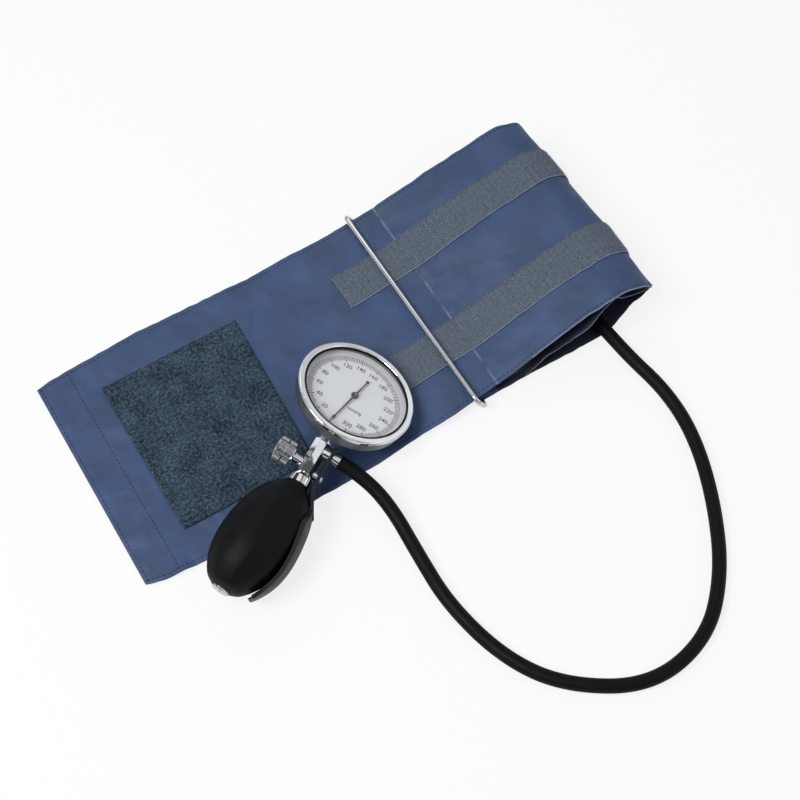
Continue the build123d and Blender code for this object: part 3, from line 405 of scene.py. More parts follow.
def clothWave(s, y):
    # how far the cloth stands out of its plain line, in millimetres, outwards positive
    w = clothWaves
    x = np.interp(s, along, middleLine[:, 0])
    onTop = smooth(s, *map(overAt, w["riseAt"])) * (1 - smooth(s - underStart, *w["overEnds"]))
    tongue = 1 - smooth(s, *map(overAt, w["flatAt"]))
    under = smooth(s - underStart, *w["underStarts"]) * (1 - smooth(s - hemStart, *w["underEnds"]))
    nearRing = np.exp(-((s - overAt(w["ringAt"])) / w["ringReach"]) ** 2)
    nearPump = smooth(x, *w["pumpFrom"]) * (1 - smooth(x, *w["pumpTo"])) * (1 - smooth(y, *w["pumpSide"]))
    nearPump = nearPump * (s < foldAt)
    edge = cuffShape["halfWidth"] - np.abs(y)
    side = np.sign(y)
    slack = drift(s / w["slackSize"][0], y / w["slackSize"][1], 3.1) * w["slackHeight"]
    fold = drift(s / w["creaseSize"][0] + y / w["lean"], y / w["creaseSize"][1], 6.6)
    slack = slack + w["creaseHeight"] * (fold - w["creaseSharp"] * np.maximum(fold, w["creaseFrom"]) + 0.17)
    wave = onTop * (1 - nearRing) * slack
    for k, middle in enumerate(w["stripMiddles"]):
        outside = np.abs(y - middle) - w["stripHalf"]
        near = np.exp(-np.maximum(outside, 0) / w["puckerReach"])
        # the tape holds the cloth flatter under its middle
        near = near * np.where(outside < 0, w["puckerHeld"] + 0.45 * np.exp(outside / 3), 1)
        pucker = drift(s / w["puckerSize"], np.full_like(s, 1.7 * k) + y / w["lean"], 8.3)
        wave = wave + onTop * (1 - nearRing) * near * w["puckerHeight"] * w["puckerGain"] * pucker
    fromSeam = np.abs(s - seamAt)
    wave = wave - onTop * w["seamDip"] * np.exp(-(fromSeam / w["seamWide"]) ** 2)
    gathers = drift(y / w["seamSize"][1], s / w["seamSize"][0], 5.7)
    pulled = w["seamPucker"] * np.exp(-fromSeam / w["seamReach"]) * gathers
    wave = wave + onTop * (1 - nearRing) * pulled
    ripple = drift(s / w["edgeSize"], side * 2.3, 11.9) + 0.5 * drift(s / w["fineEdge"], side * 4.1, 2.2)
    atEdge = np.exp(-edge / w["edgeReach"]) * w["edgeHeight"]
    wave = wave + onTop * (1 - nearRing) * atEdge * ripple * w["edgeGain"]
    lifted = np.abs(ripple) * atEdge * w["liftGain"]
    swell = 1 + drift(s / w["tongueSize"][0], y / w["tongueSize"][1], 7.7)
    lifted = lifted + w["tongueHeight"] * swell * smooth(edge, 0, 10)
    creases = np.maximum(drift(y / w["tipSize"][1], s / w["tipSize"][0], 1.3), -0.2) + 0.2
    lifted = lifted + w["tipCrease"] * creases * (1 - smooth(s, 20, 44)) * smooth(s, 0, 6)
    wave = wave + tongue * lifted * (1 - w["pumpPress"] * nearPump)
    wave = wave - under * np.abs(ripple) * atEdge * w["underGain"]
    return wave


def clothSide(s, y):
    # the tongue is widest halfway along it, and the front of the fold is tucked under
    w = clothWaves
    weight = (np.abs(y) / cuffShape["halfWidth"]) ** 5
    shift = w["sideDrift"] * weight * drift(s / 30.0, np.sign(y) * 3.3, 4.4)
    shift = shift + w["scallop"] * weight * drift(s / w["scallopSize"], np.sign(y) * 5.1, 8.8)
    shift = shift + weight * np.where(y > 0, np.interp(s, w["backAt"], w["backOut"]), 0)
    shift = shift - weight * np.where(y < 0, np.interp(s, w["frontAt"], w["frontOut"]), 0)
    return shift + np.interp(s - foldAt, w["tuckAt"], w["tuck"]) * np.clip((-y - 20) / 50, 0, 1) ** 2


def clothPlace(s, y, depth):
    # a place in the cuff: s along the cloth, y across it, depth under its outer face
    s, y, depth = (np.asarray(a, float) for a in np.broadcast_arrays(s, y, depth))
    share = (y + cuffShape["halfWidth"]) / (2 * cuffShape["halfWidth"])
    mix = [np.interp(s, along, a[:, k]) * (1 - share) + np.interp(s, along, b[:, k]) * share
           for a, b in ((frontLine, backLine), (frontHeading, backHeading)) for k in (0, 1)]
    size = np.hypot(mix[2], mix[3])
    inX, inZ = mix[3] / size, -mix[2] / size
    reach = depth - clothWave(s, y)
    return np.stack([mix[0] + inX * reach, y + clothSide(s, y), mix[1] + inZ * reach], -1)


def edgeShare(distance, radius):
    # how thick a rounded edge is, from nothing at the edge to one at its radius
    t = np.clip(distance / radius, 0, 1)
    return np.sqrt(1 - (1 - t) ** 2)


def spaced(start, end, step, rounding):
    # even lines across a sheet, with closer ones where its edges are rounded
    count = max(2, round((end - start) / step))
    inner = np.linspace(start + rounding, end - rounding, count)
    near, far = rounding * 0.12, rounding * 0.45
    return np.concatenate([[start, start + near, start + far], inner, [end - far, end - near, end]])


def meshObject(name, points, faces, material, cloth=None):
    mesh = bpy.data.meshes.new(name)
    mesh.from_pydata([tuple(p) for p in np.asarray(points) * mm], [], faces)
    shade(mesh, True)
    if cloth is not None:
        layer = mesh.uv_layers.new(name="clothMap")
        corner = np.zeros(len(mesh.loops), np.int32)
        mesh.loops.foreach_get("vertex_index", corner)
        layer.data.foreach_set("uv", (np.asarray(cloth)[corner] * mm).ravel())
    mesh.materials.append(material)
    return addObject(name, mesh)


def gridQuads(rows, cols):
    return [(i * cols + j, (i + 1) * cols + j, (i + 1) * cols + j + 1, i * cols + j + 1)
            for i in range(rows - 1) for j in range(cols - 1)]


def thickSheet(name, look, sEnds, yEnds, depth, thick, place, material, top=None, backing=None):
    # a closed sheet: an upper and a lower grid that meet in rounded edges
    sLines, yLines = (spaced(*ends, look["step"], look["rounding"]) for ends in (sEnds, yEnds))
    gridS, gridY = np.meshgrid(sLines, yLines, indexing="ij")
    base = depth(gridS, gridY) if callable(depth) else np.full_like(gridS, depth)
    fromEnd = np.minimum(gridS - sLines[0], sLines[-1] - gridS)
    fromSide = np.minimum(gridY - yLines[0], yLines[-1] - gridY)
    full = np.maximum(edgeShare(fromEnd, thick / 2) * edgeShare(fromSide, thick / 2), 0.12)
    middle = base + thick / 2
    upper = middle - full * thick / 2
    if top is not None:
        upper = upper - top(gridS, gridY) * full
    lower = middle + full * thick / 2
    above = place(gridS, gridY, upper).reshape(-1, 3)
    below = place(gridS, gridY, lower).reshape(-1, 3)
    rows, cols = gridS.shape
    half = rows * cols
    faces = []
    for a, b, c, d in gridQuads(rows, cols):
        faces += [(a, b, c, d), (half + a, half + d, half + c, half + b)]
    gridFaces = len(faces)
    for i in range(rows - 1):
        for j, flip in ((0, False), (cols - 1, True)):
            a, b = i * cols + j, (i + 1) * cols + j
            quad = (a, half + a, half + b, b)
            faces.append(quad[::-1] if flip else quad)
    for j in range(cols - 1):
        for i, flip in ((0, True), (rows - 1, False)):
            a, b = i * cols + j, i * cols + j + 1
            quad = (a, half + a, half + b, b)
            faces.append(quad[::-1] if flip else quad)
    flatMap = np.stack([gridS.ravel(), gridY.ravel()], 1)
    thing = meshObject(
        name, np.concatenate([above, below]), faces, material, np.concatenate([flatMap, flatMap])
    )
    if backing is not None:
        thing.data.materials.append(backing)
        under = np.zeros(len(faces), np.int32)
        under[1:gridFaces:2] = 1
        thing.data.polygons.foreach_set("material_index", under)
    return thing


# Outer cloth
nylonLook = {
    "dark": "#2E4466", "light": "#38507C", "threadMm": 0.75, "threadShade": 0.86, "patchMm": 24.0,
    "slubMm": 2.4, "rough": 0.56, "bump": 0.4, "sheen": 0.03,
    "rumples": [{"mm": 34.0, "deep": 5.0}, {"mm": 9.0, "deep": 0.6}],
    "chalk": [{"along": seamAt - 0.9, "width": 0.7, "rubMm": 12.0, "strength": 0.34, "colour": "#9FB0C8"}],
    "step": 1.55, "rounding": 0.4,
}
blueNylon = wovenCloth("wovenNylonSlateBlue", nylonLook)
liningLook = {
    "dark": "#0E1428", "light": "#182038", "threadMm": 0.75, "threadShade": 0.85, "patchMm": 40.0,
    "slubMm": 3.0, "rough": 0.62, "bump": 0.3, "sheen": 0.02, "rumples": [{"mm": 16.0, "deep": 0.9}],
    "start": 0.6, "end": -53.0, "half": 69.6, "thick": 0.7, "step": 1.7, "rounding": 0.35,
}
darkLining = wovenCloth("coatedLiningDarkBlue", liningLook)
outerCloth = thickSheet(
    "cuffOuterCloth", nylonLook, (0.0, clothEnd), (-cuffShape["halfWidth"], cuffShape["halfWidth"]),
    0.0, cuffShape["thick"], clothPlace, blueNylon, backing=darkLining,
)
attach(outerCloth, "cuff_and_pump")
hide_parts("cuff_outer_fabric")
print("outer cloth made,", len(outerCloth.data.polygons), "faces")

# Lining and bladder
liningShape = {
    "tongueDepth": 0.9, "loopDepth": 3.4, "edgeDepth": 1.3, "edgeReach": (0.5, 9.0),
    "loopFrom": (-46.0, -34.0), "loopTo": (-30.0, -38.0),
    "bell": (0.16, 0.8), "pullAcross": (-68.0, -24.0), "pullPower": 1.3,
    "sideSway": 2.0, "swaySize": (14.0, 20.0),
    "tent": [(59.0, 22.0), (52.0, 17.0), (46.9, 17.6), (40.4, 23.4), (34.8, 29.3), (28.9, 28.9), (23.7, 25.4),
             (5.5, 14.1), (-9.5, 10.0), (-26.0, 4.6)],
}
liningEnd = underAt(liningLook["end"])
tentPoints = np.array(liningShape["tent"])
tentReach = np.concatenate([[0], np.cumsum(np.linalg.norm(np.diff(tentPoints, axis=0), axis=1))])
tentStart = foldAt - 1.0
tentEnd = underAt(liningShape["tent"][-1][0])


def liningDepth(s, y):
    shape = liningShape
    edge = cuffShape["halfWidth"] - np.abs(y)
    inLoop = smooth(s, *map(overAt, shape["loopFrom"])) * (1 - smooth(s, *map(underAt, shape["loopTo"])))
    inside = smooth(edge, *shape["edgeReach"])
    loop = shape["edgeDepth"] + (shape["loopDepth"] - shape["edgeDepth"]) * inside
    return shape["tongueDepth"] + (loop - shape["tongueDepth"]) * inLoop


def liningPlace(s, y, depth):
    # the lining hangs loose over the hose at the front of the lower panel
    plain = clothPlace(s, y, depth)
    s, y, depth = (np.asarray(a, float) for a in np.broadcast_arrays(s, y, depth))
    shape = liningShape
    inside = np.clip((s - tentStart) / (tentEnd - tentStart), 0, 1)
    bell = smooth(inside, 0.0, shape["bell"][0]) * (1 - smooth(inside, shape["bell"][1], 1.0))
    pull = bell * (1 - smooth(y, *shape["pullAcross"])) ** shape["pullPower"]
    at = inside * tentReach[-1]
    raised = depth - liningDepth(s, y)
    tentX = np.interp(at, tentReach, tentPoints[:, 0])
    tentZ = np.interp(at, tentReach, tentPoints[:, 1]) + raised
    plain[..., 0] += (tentX - plain[..., 0]) * pull
    plain[..., 2] += (tentZ - plain[..., 2]) * pull
    sway = drift(s / shape["swaySize"][0], y / shape["swaySize"][1], 6.1)
    plain[..., 1] += shape["sideSway"] * pull * sway
    return plain


lining = thickSheet(
    "cuffLining", liningLook, (liningLook["start"], liningEnd), (-liningLook["half"], liningLook["half"]),
    liningDepth, liningLook["thick"], liningPlace, darkLining,
)
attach(lining, "cuff_and_pump")
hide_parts("cuff_lining")

rubberLook = {
    "dark": "#060709", "light": "#0C0D10", "rough": 0.5, "roughSpread": 0.07, "bloomMm": 14.0, "grainMm": 0.5,
    "bump": 0.18, "ior": 1.52, "specular": 0.12,
}
matteRubber = speckledMaterial("mouldedBlackRubber", rubberLook)
bagLook = {
    "start": -33.0, "end": -32.0, "half": 59.0, "depth": 0.95, "thick": 2.2, "step": 3.0, "rounding": 0.9,
}
bladderBag = thickSheet(
    "bladderBag", bagLook, (overAt(bagLook["start"]), underAt(bagLook["end"])),
    (-bagLook["half"], bagLook["half"]),
    bagLook["depth"], bagLook["thick"], clothPlace, matteRubber,
)
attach(bladderBag, "cuff_and_pump")
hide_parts("bladder")
print("lining and bladder made")

# Pile patch
pileLook = {
    "base": "#455767", "dark": "#16202A", "fibreGlint": "#74869A", "tuftMm": 1.7, "fibreMm": 0.9, "mottleMm": 16.0,
    "left": -239.9, "right": -159.6, "front": -51.5, "back": 50.1, "thick": 1.3, "tuft": 0.45, "step": 0.75,
    "stretch": (2.5, 8.5), "lift": 0.05, "rounding": 0.5, "tuftSizes": (1.9, 0.95), "sewn": (0.4, 2.2),
}


def pileMaterial(name, look):
    # brushed loop pile: matted fibres, with painted shade between the tufts and painted glints where they
    # catch the light
    material, tree, shader = startMaterial(name)
    cloth = addNode(tree, "ShaderNodeUVMap", uv_map="clothMap")
    tufts = addNode(
        tree, "ShaderNodeTexNoise",
        {"Vector": cloth, "Scale": 1 / look["tuftMm"] / mm, "Detail": 5.0, "Roughness": 0.7},
    )
    fibres = addNode(
        tree, "ShaderNodeTexVoronoi", {"Vector": cloth, "Scale": 1 / look["fibreMm"] / mm, "Randomness": 1.0}
    )
    wide = addNode(
        tree, "ShaderNodeTexNoise", {"Vector": cloth, "Scale": 1 / look["mottleMm"] / mm, "Detail": 2.0}
    )
    # the ground is darker where the tufts are low: painted shade in the pile's hollows, over random mottling
    blend = addNode(tree, "ShaderNodeMath", {0: wide, 1: 0.3, 2: tufts}, operation="MULTIPLY_ADD")
    spread = addNode(tree, "ShaderNodeMapRange", {"Value": blend, "From Min": 0.52, "From Max": 0.8})
    ground = addNode(
        tree, "ShaderNodeMix",
        {0: spread, 6: linearColour(look["dark"]), 7: linearColour(look["base"])},
        data_type="RGBA",
    )
    # pale fibre colour on the higher tufts: painted glints
    glint = addNode(
        tree, "ShaderNodeMapRange",
        {"Value": fibres.outputs["Distance"], "From Min": 0.12, "From Max": 0.5, "To Min": 0.7,
         "To Max": 0.0},
    )
    lit = addNode(tree, "ShaderNodeMath", {0: glint, 1: spread}, operation="MULTIPLY")
    colour = addNode(
        tree, "ShaderNodeMix", {0: lit, 6: ground.outputs[2], 7: linearColour(look["fibreGlint"])},
        data_type="RGBA",
    )
    bump = addNode(tree, "ShaderNodeBump", {"Strength": 0.9, "Distance": 0.35 * mm, "Height": tufts})
    setShader(
        tree, shader, Base_Color=colour.outputs[2], Normal=bump, Roughness=0.95, IOR=1.5,
        Specular_IOR_Level=0.2,
    )
    return material


loopPile = pileMaterial("brushedLoopPileTeal", pileLook)
pileStart, pileStop = overAt(pileLook["left"]), overAt(pileLook["right"])


def pileTufts(s, y):
    # the nap stands up in small tufts, and thins out towards the sewn edge
    wide, small = pileLook["tuftSizes"]
    fine = drift(s / wide, y / wide, 9.1) + 0.7 * drift(s / small, y / small, 2.8)
    inset = np.minimum(s - pileStart, pileStop - s)
    inset = np.minimum(inset, np.minimum(y - pileLook["front"], pileLook["back"] - y))
    return pileLook["tuft"] * (0.7 + fine) * smooth(inset, *pileLook["sewn"])


def pilePlace(s, y, depth):
    # the patch was cut a little out of square, longer towards the back
    share = (y - pileLook["front"]) / (pileLook["back"] - pileLook["front"])
    longer = pileLook["stretch"][0] + (pileLook["stretch"][1] - pileLook["stretch"][0]) * share
    return clothPlace(s + longer * (s - pileStart) / (pileStop - pileStart), y, depth)


pilePatch = thickSheet(
    "loopPilePatch", pileLook, (pileStart, pileStop), (pileLook["front"], pileLook["back"]),
    -pileLook["thick"] - pileLook["lift"], pileLook["thick"], pilePlace, loopPile, top=pileTufts,
)
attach(pilePatch, "cuff_and_pump")
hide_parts("loop_pile_patch")
print("pile patch made,", len(pilePatch.data.polygons), "faces")

# Hook strips
stripLook = {
    "half": 12.0, "start": -89.0, "thick": 0.7, "ridge": 0.25, "ridgeRise": (1.0, 1.9),
    "edgeDrift": 0.35, "driftSize": 11.0,
    # ground: painted shade between the ribs; rib: painted highlight on their crowns
    "ground": "#2F3946", "rib": "#8F9CAD", "ribMm": 1.05, "cordMm": 0.7, "wearMm": 2.0,
    # hook: the hooks' grey, painted paler as a glint
    "hookHeight": 0.6, "hookWidth": 0.55, "hookPitch": (1.45, 1.4), "hookThread": 0.18, "hook": "#95A3B4",
    "hooksFrom": (2.6, 2.2), "hooksTo": (2.2, 2.1), "hookSink": 0.05, "seed": 5,
    "foldPast": 15.0, "lift": 0.06, "step": 1.1, "rounding": 0.35,
}
stripMiddles = {"rear": 32.0, "front": -32.0}
stripStart = overAt(stripLook["start"])
stripEnd = foldAt + stripLook["foldPast"]


def tapeMaterial(name, look):
    # woven hook tape: close ribs across its length, painted paler on their crowns and darker between them as
    # painted light and shade, a denser plain selvage along both edges
    material, tree, shader = startMaterial(name)
    cloth = addNode(tree, "ShaderNodeUVMap", uv_map="clothMap")
    ribs = addNode(
        tree, "ShaderNodeTexWave",
        {"Vector": cloth, "Scale": wavePitch / look["ribMm"] / mm, "Distortion": 0.6, "Detail": 1.0},
        wave_type="BANDS", bands_direction="X", wave_profile="SIN",
    )
    cords = addNode(
        tree, "ShaderNodeTexWave", {"Vector": cloth, "Scale": wavePitch / look["cordMm"] / mm},
        wave_type="BANDS", bands_direction="Y", wave_profile="SIN",
    )
    wear = addNode(
        tree, "ShaderNodeTexNoise", {"Vector": cloth, "Scale": 1 / look["wearMm"] / mm, "Detail": 5.0}
    )
    both = addNode(
        tree, "ShaderNodeMath", {0: ribs.outputs["Fac"], 1: cords.outputs["Fac"]}, operation="MULTIPLY"
    )
    mixed = addNode(tree, "ShaderNodeMath", {0: both, 1: wear}, operation="MULTIPLY")
    spread = addNode(tree, "ShaderNodeMapRange", {"Value": mixed, "From Min": 0.02, "From Max": 0.36})
    # dark in the grooves and pale on the rib crowns: painted shade and painted highlight, broken by real wear
    colour = addNode(
        tree, "ShaderNodeMix",
        {0: spread, 6: linearColour(look["ground"]), 7: linearColour(look["rib"])},
        data_type="RGBA",
    )
    bump = addNode(tree, "ShaderNodeBump", {"Strength": 0.6, "Distance": 0.2 * mm, "Height": both})
    setShader(
        tree, shader, Base_Color=colour.outputs[2], Normal=bump, Roughness=0.7, IOR=1.53,
        Specular_IOR_Level=0.35,
    )
    return material


hookTape = tapeMaterial("wovenHookTape", stripLook)


def plainThread(name, code, rough):
    # spun polyester thread: the colour it is given, dull, with a painted highlight that makes it a little
    # paler on the crown of each turn
    material, tree, shader = startMaterial(name)
    place = addNode(tree, "ShaderNodeTexCoord").outputs["Object"]
    twistMm = 0.4
    twist = addNode(tree, "ShaderNodeTexNoise", {"Vector": place, "Scale": 1 / twistMm / mm, "Detail": 2.0})
    dark = tuple(0.7 * c for c in linearColour(code)[:3]) + (1.0,)
    # darker and paler spots along the thread: painted highlight on the crowns of its turns
    colour = addNode(tree, "ShaderNodeMix", {0: twist, 6: dark, 7: linearColour(code)}, data_type="RGBA")
    setShader(tree, shader, Base_Color=colour.outputs[2], Roughness=rough, IOR=1.5)
    return material


# the hooks' grey thread made paler than it is: a painted glint where the hooks sparkle
hookFibreGlint = plainThread("hookFibreGreyGlint", stripLook["hook"], 0.5)


def stripPlace(middle):
    # a place on one strip, v across it from its own middle line; each strip strays in its own way
    seed = 12.5 + middle / 10

    def place(s, v, depth):
        s, v, depth = (np.asarray(a, float) for a in np.broadcast_arrays(s, v, depth))
        sway = stripLook["edgeDrift"] * drift(s / stripLook["driftSize"], np.sign(v) * 1.9, seed)
        return clothPlace(s, middle + v + sway * np.abs(v / stripLook["half"]) ** 3, depth)

    return place


def stripRidge(s, v):
    # the hooks' ground stands proud of the plain selvages
    return stripLook["ridge"] * smooth(stripLook["half"] - np.abs(v), *stripLook["ridgeRise"])


# Small things set out on points by geometry nodes
def startTree(name, sizes, counts=None):
    # a tree with named inputs: sizes, then whole numbers, then the material
    tree = bpy.data.node_groups.new(name, "GeometryNodeTree")
    for way in ("OUTPUT", "INPUT"):
        tree.interface.new_socket(name="Geometry", in_out=way, socket_type="NodeSocketGeometry")
    for kind, values in (("NodeSocketFloat", sizes), ("NodeSocketInt", counts or {})):
        for label, value in values.items():
            socket = tree.interface.new_socket(name=label, in_out="INPUT", socket_type=kind)
            socket.default_value = value
    tree.interface.new_socket(name="Material", in_out="INPUT", socket_type="NodeSocketMaterial")
    return tree, addNode(tree, "NodeGroupInput").outputs


def endTree(tree, start, points, piece, turned):
    # the small piece on each point, made real and given its material
    placed = addNode(
        tree, "GeometryNodeInstanceOnPoints", {"Points": points, "Instance": piece, "Rotation": turned}
    )
    real = addNode(tree, "GeometryNodeRealizeInstances", {0: placed})
    painted = addNode(tree, "GeometryNodeSetMaterial", {"Geometry": real, "Material": start["Material"]})
    addNode(tree, "NodeGroupOutput", {0: painted})
    return tree


def hookTree():
    tree, start = startTree("hooksOnTape", {"Height": 0.0006, "Width": 0.0005, "Thread": 0.0001}, {"Seed": 1})
    half, back = (
        addNode(tree, "ShaderNodeMath", {0: start["Width"], 1: share}, operation="MULTIPLY")
        for share in (0.5, -0.5)
    )
    top = addNode(tree, "ShaderNodeMath", {0: start["Height"], 1: 1.33}, operation="MULTIPLY")
    corners = {
        "Start": (back, 0.0), "Start Handle": (back, top), "End Handle": (half, top), "End": (half, 0.0),
    }
    ends = {
        name: addNode(tree, "ShaderNodeCombineXYZ", {"X": x, "Z": z})
        for name, (x, z) in corners.items()
    }
    arch = addNode(
        tree, "GeometryNodeCurvePrimitiveBezierSegment", {"Resolution": 4, **ends}, mode="POSITION"
    )
    section = addNode(
        tree, "GeometryNodeCurvePrimitiveCircle", {"Resolution": 3, "Radius": start["Thread"]}, mode="RADIUS"
    )
    hook = addNode(tree, "GeometryNodeCurveToMesh", {"Curve": arch, "Profile Curve": section})
    up = addNode(tree, "GeometryNodeInputNormal")
    jitter = addNode(
        tree, "FunctionNodeRandomValue",
        {0: (-0.35, -0.35, -0.35), 1: (0.35, 0.35, 0.35), "Seed": start["Seed"]}, data_type="FLOAT_VECTOR",
    )
    leaning = addNode(tree, "ShaderNodeVectorMath", {0: up, 1: jitter}, operation="ADD")
    stand = addNode(tree, "FunctionNodeAlignRotationToVector", {"Vector": leaning}, axis="Z")
    return endTree(tree, start, start["Geometry"], hook, stand)


def stitchTree():
    tree, start = startTree(
        "stitchesAlongLine", {"Pitch": 0.003, "Stitch Length": 0.0022, "Thread Width": 0.0005}
    )
    line = addNode(tree, "GeometryNodeMeshToCurve", {"Mesh": start["Geometry"]})
    spread = addNode(
        tree, "GeometryNodeResampleCurve", {"Curve": line, "Length": start["Pitch"]}, mode="LENGTH"
    )
    halfLong, halfWide = (
        addNode(tree, "ShaderNodeMath", {0: start[size], 1: 0.5}, operation="MULTIPLY")
        for size in ("Stitch Length", "Thread Width")
    )
    size = addNode(tree, "ShaderNodeCombineXYZ", {"X": halfLong, "Y": halfWide, "Z": halfWide})
    bead = addNode(tree, "GeometryNodeMeshUVSphere", {"Segments": 6, "Rings": 5, "Radius": 1.0})
    stitch = addNode(tree, "GeometryNodeTransform", {"Geometry": bead, "Scale": size})
    heading = addNode(tree, "GeometryNodeInputTangent")
    turned = addNode(tree, "FunctionNodeAlignRotationToVector", {"Vector": heading}, axis="X")
    return endTree(tree, start, spread, stitch, turned)


def grownMesh(thing, tree, values):
    # runs a tree on an object with its inputs set, and keeps the plain mesh that comes out
    modifier = thing.modifiers.new(tree.name, "NODES")
    modifier.node_group = tree
    for item in tree.interface.items_tree:
        if item.in_out == "INPUT" and item.name in values:
            modifier[item.identifier] = values[item.name]
    graph = bpy.context.evaluated_depsgraph_get()
    mesh = bpy.data.meshes.new_from_object(thing.evaluated_get(graph))
    thing.modifiers.clear()
    thing.data = mesh
    shade(mesh, True)


hooksTree = hookTree()
stitchesTree = stitchTree()
for label, middle in stripMiddles.items():
    place = stripPlace(middle)
    strip = thickSheet(
        "hookStrip_" + label, stripLook, (stripStart, stripEnd), (-stripLook["half"], stripLook["half"]),
        -stripLook["thick"] - stripLook["lift"], stripLook["thick"], place, hookTape, top=stripRidge,
    )
    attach(strip, "cuff_and_pump")
    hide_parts("hook_strip_" + label)
    (pitchS, pitchV), (fromS, fromV), (toS, toV) = (
        stripLook[key] for key in ("hookPitch", "hooksFrom", "hooksTo")
    )
    gridS, gridV = np.meshgrid(
        np.arange(stripStart + fromS, stripEnd - toS, pitchS),
        np.arange(-stripLook["half"] + fromV, stripLook["half"] - toV, pitchV), indexing="ij",
    )
    bedDepth = -stripLook["thick"] - stripLook["lift"] - stripLook["ridge"] + stripLook["hookSink"]
    bed = place(gridS, gridV, bedDepth).reshape(-1, 3)
    hooks = meshObject("hooks_" + label, bed, gridQuads(*gridS.shape), hookFibreGlint)
    grownMesh(hooks, hooksTree, {
        "Height": stripLook["hookHeight"] * mm, "Width": stripLook["hookWidth"] * mm,
        "Thread": stripLook["hookThread"] / 2 * mm, "Seed": stripLook["seed"], "Material": hookFibreGlint,
    })
    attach(hooks, "cuff_and_pump")
    print("hook strip", label, len(strip.data.polygons), "faces,", len(hooks.data.polygons), "on its hooks")

# Stitches
stitchLook = {
    "navy": "#161D2E", "pale": "#8F9DB2", "pitch": 2.9, "length": 2.2, "thread": 0.5, "sink": 0.02,
    "edgeInset": 2.2, "hemAt": 20.0, "hemBefore": 6.0, "sideBefore": 2.0,
    "seamSink": 0.3, "seamRuns": ((-67.8, -45.5), (-18.8, 18.8), (45.5, 67.8)),
    "liningEdge": -69.4, "liningEdgeEnd": -24.0, "clothEdge": -69.7, "clothEdgeStart": -20.0,
    "edgeSink": (0.25, 0.1), "edgeFrom": 2.0, "edgeUntil": 3.0, "edgeCount": 260,
    "patchInset": 1.3, "patchLift": 0.1,
    "tapeInset": 1.0, "tapeStart": 1.2, "tapeLift": 0.04, "rimInset": 0.35, "rimStart": 0.6, "rimSink": 0.2,
}
edgeHighlightStitch = {"pitch": 1.3, "length": 1.9, "thread": 0.75}
tapeStitch = {"pitch": 2.6, "length": 1.9, "thread": 0.48}
patchStitch = {"pitch": 2.6, "length": 2.0, "thread": 0.45}
navyThread = plainThread("spunThreadNavy", stitchLook["navy"], 0.75)
# the pale thread is a painted highlight, laid along the front edges where they catch the light
edgeHighlightThread = plainThread("spunThreadEdgeHighlight", stitchLook["pale"], 0.7)


def seamLine(sFrom, sTo, yFrom, yTo, depth=0.0, place=clothPlace, step=0.8):
    # points along a straight seam in the cloth's own measure
    count = max(2, int(math.hypot(sTo - sFrom, yTo - yFrom) / step))
    s = np.linspace(sFrom, sTo, count)
    y = np.linspace(yFrom, yTo, count)
    return place(s, y, np.full_like(s, depth))


def stitchPiece(name, lines, material, pitch=None, length=None, thread=None):
    edges = []
    start = 0
    for line in lines:
        edges += [(start + k, start + k + 1) for k in range(len(line) - 1)]
        start += len(line)
    mesh = bpy.data.meshes.new(name)
    mesh.from_pydata([tuple(p) for p in np.concatenate(lines) * mm], edges, [])
    thing = addObject(name, mesh)
    grownMesh(thing, stitchesTree, {
        "Pitch": (pitch or stitchLook["pitch"]) * mm, "Stitch Length": (length or stitchLook["length"]) * mm,
        "Thread Width": (thread or stitchLook["thread"]) * mm, "Material": material,
    })
    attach(thing, "cuff_and_pump")
    return thing


edgeInset, sink = stitchLook["edgeInset"], stitchLook["sink"]
rim = cuffShape["halfWidth"] - edgeInset
sideEnd, hemSeam = hemStart - stitchLook["sideBefore"], hemStart - stitchLook["hemBefore"]
edgeStitches = stitchPiece("edgeStitches", [
    seamLine(edgeInset, edgeInset, -rim, rim, sink),
    seamLine(stitchLook["hemAt"], stitchLook["hemAt"], -rim, rim, sink),
    seamLine(edgeInset, sideEnd, -rim, -rim, sink),
    seamLine(edgeInset, sideEnd, rim, rim, sink),
    seamLine(hemSeam, hemSeam, -rim, rim, sink),
], navyThread)
seamStitches = stitchPiece(
    "pocketSeamStitches",
    [seamLine(seamAt, seamAt, *run, stitchLook["seamSink"]) for run in stitchLook["seamRuns"]], navyThread,
)

# the tape's own seam, and a pale thread line along the front edges of tape, lining and cloth: a painted
# highlight where these edges catch the light
tapeTop = -stripLook["thick"] - stitchLook["tapeLift"]
tapeFrom, tapeTo = stripStart + stitchLook["tapeStart"], stripEnd - stitchLook["tapeStart"]
rimFrom, rimTo = stripStart + stitchLook["rimStart"], stripEnd - stitchLook["rimStart"]
inset = stripLook["half"] - stitchLook["tapeInset"]
rimV = stitchLook["rimInset"] - stripLook["half"]
tapeLines = []
tapeHighlightLines = []
for middle in stripMiddles.values():
    place = stripPlace(middle)
    tapeLines += [
        seamLine(tapeFrom, tapeTo, inset, inset, tapeTop, place),
        seamLine(tapeFrom, tapeFrom, -inset, inset, tapeTop, place),
    ]
    tapeHighlightLines.append(seamLine(rimFrom, rimTo, rimV, rimV, stitchLook["rimSink"] + tapeTop, place))
tapeStitches = stitchPiece("tapeStitches", tapeLines, navyThread, **tapeStitch)
tapeEdgeHighlight = stitchPiece("tapeEdgeHighlight", tapeHighlightLines, edgeHighlightThread, **edgeHighlightStitch)
liningSink, clothSink = stitchLook["edgeSink"]
edgeSpots = np.linspace(
    foldAt + stitchLook["edgeFrom"], underAt(stitchLook["liningEdgeEnd"]), stitchLook["edgeCount"]
)
edgeRow = np.full_like(edgeSpots, stitchLook["liningEdge"])
edgeLine = liningPlace(edgeSpots, edgeRow, liningDepth(edgeSpots, edgeRow) + liningSink)
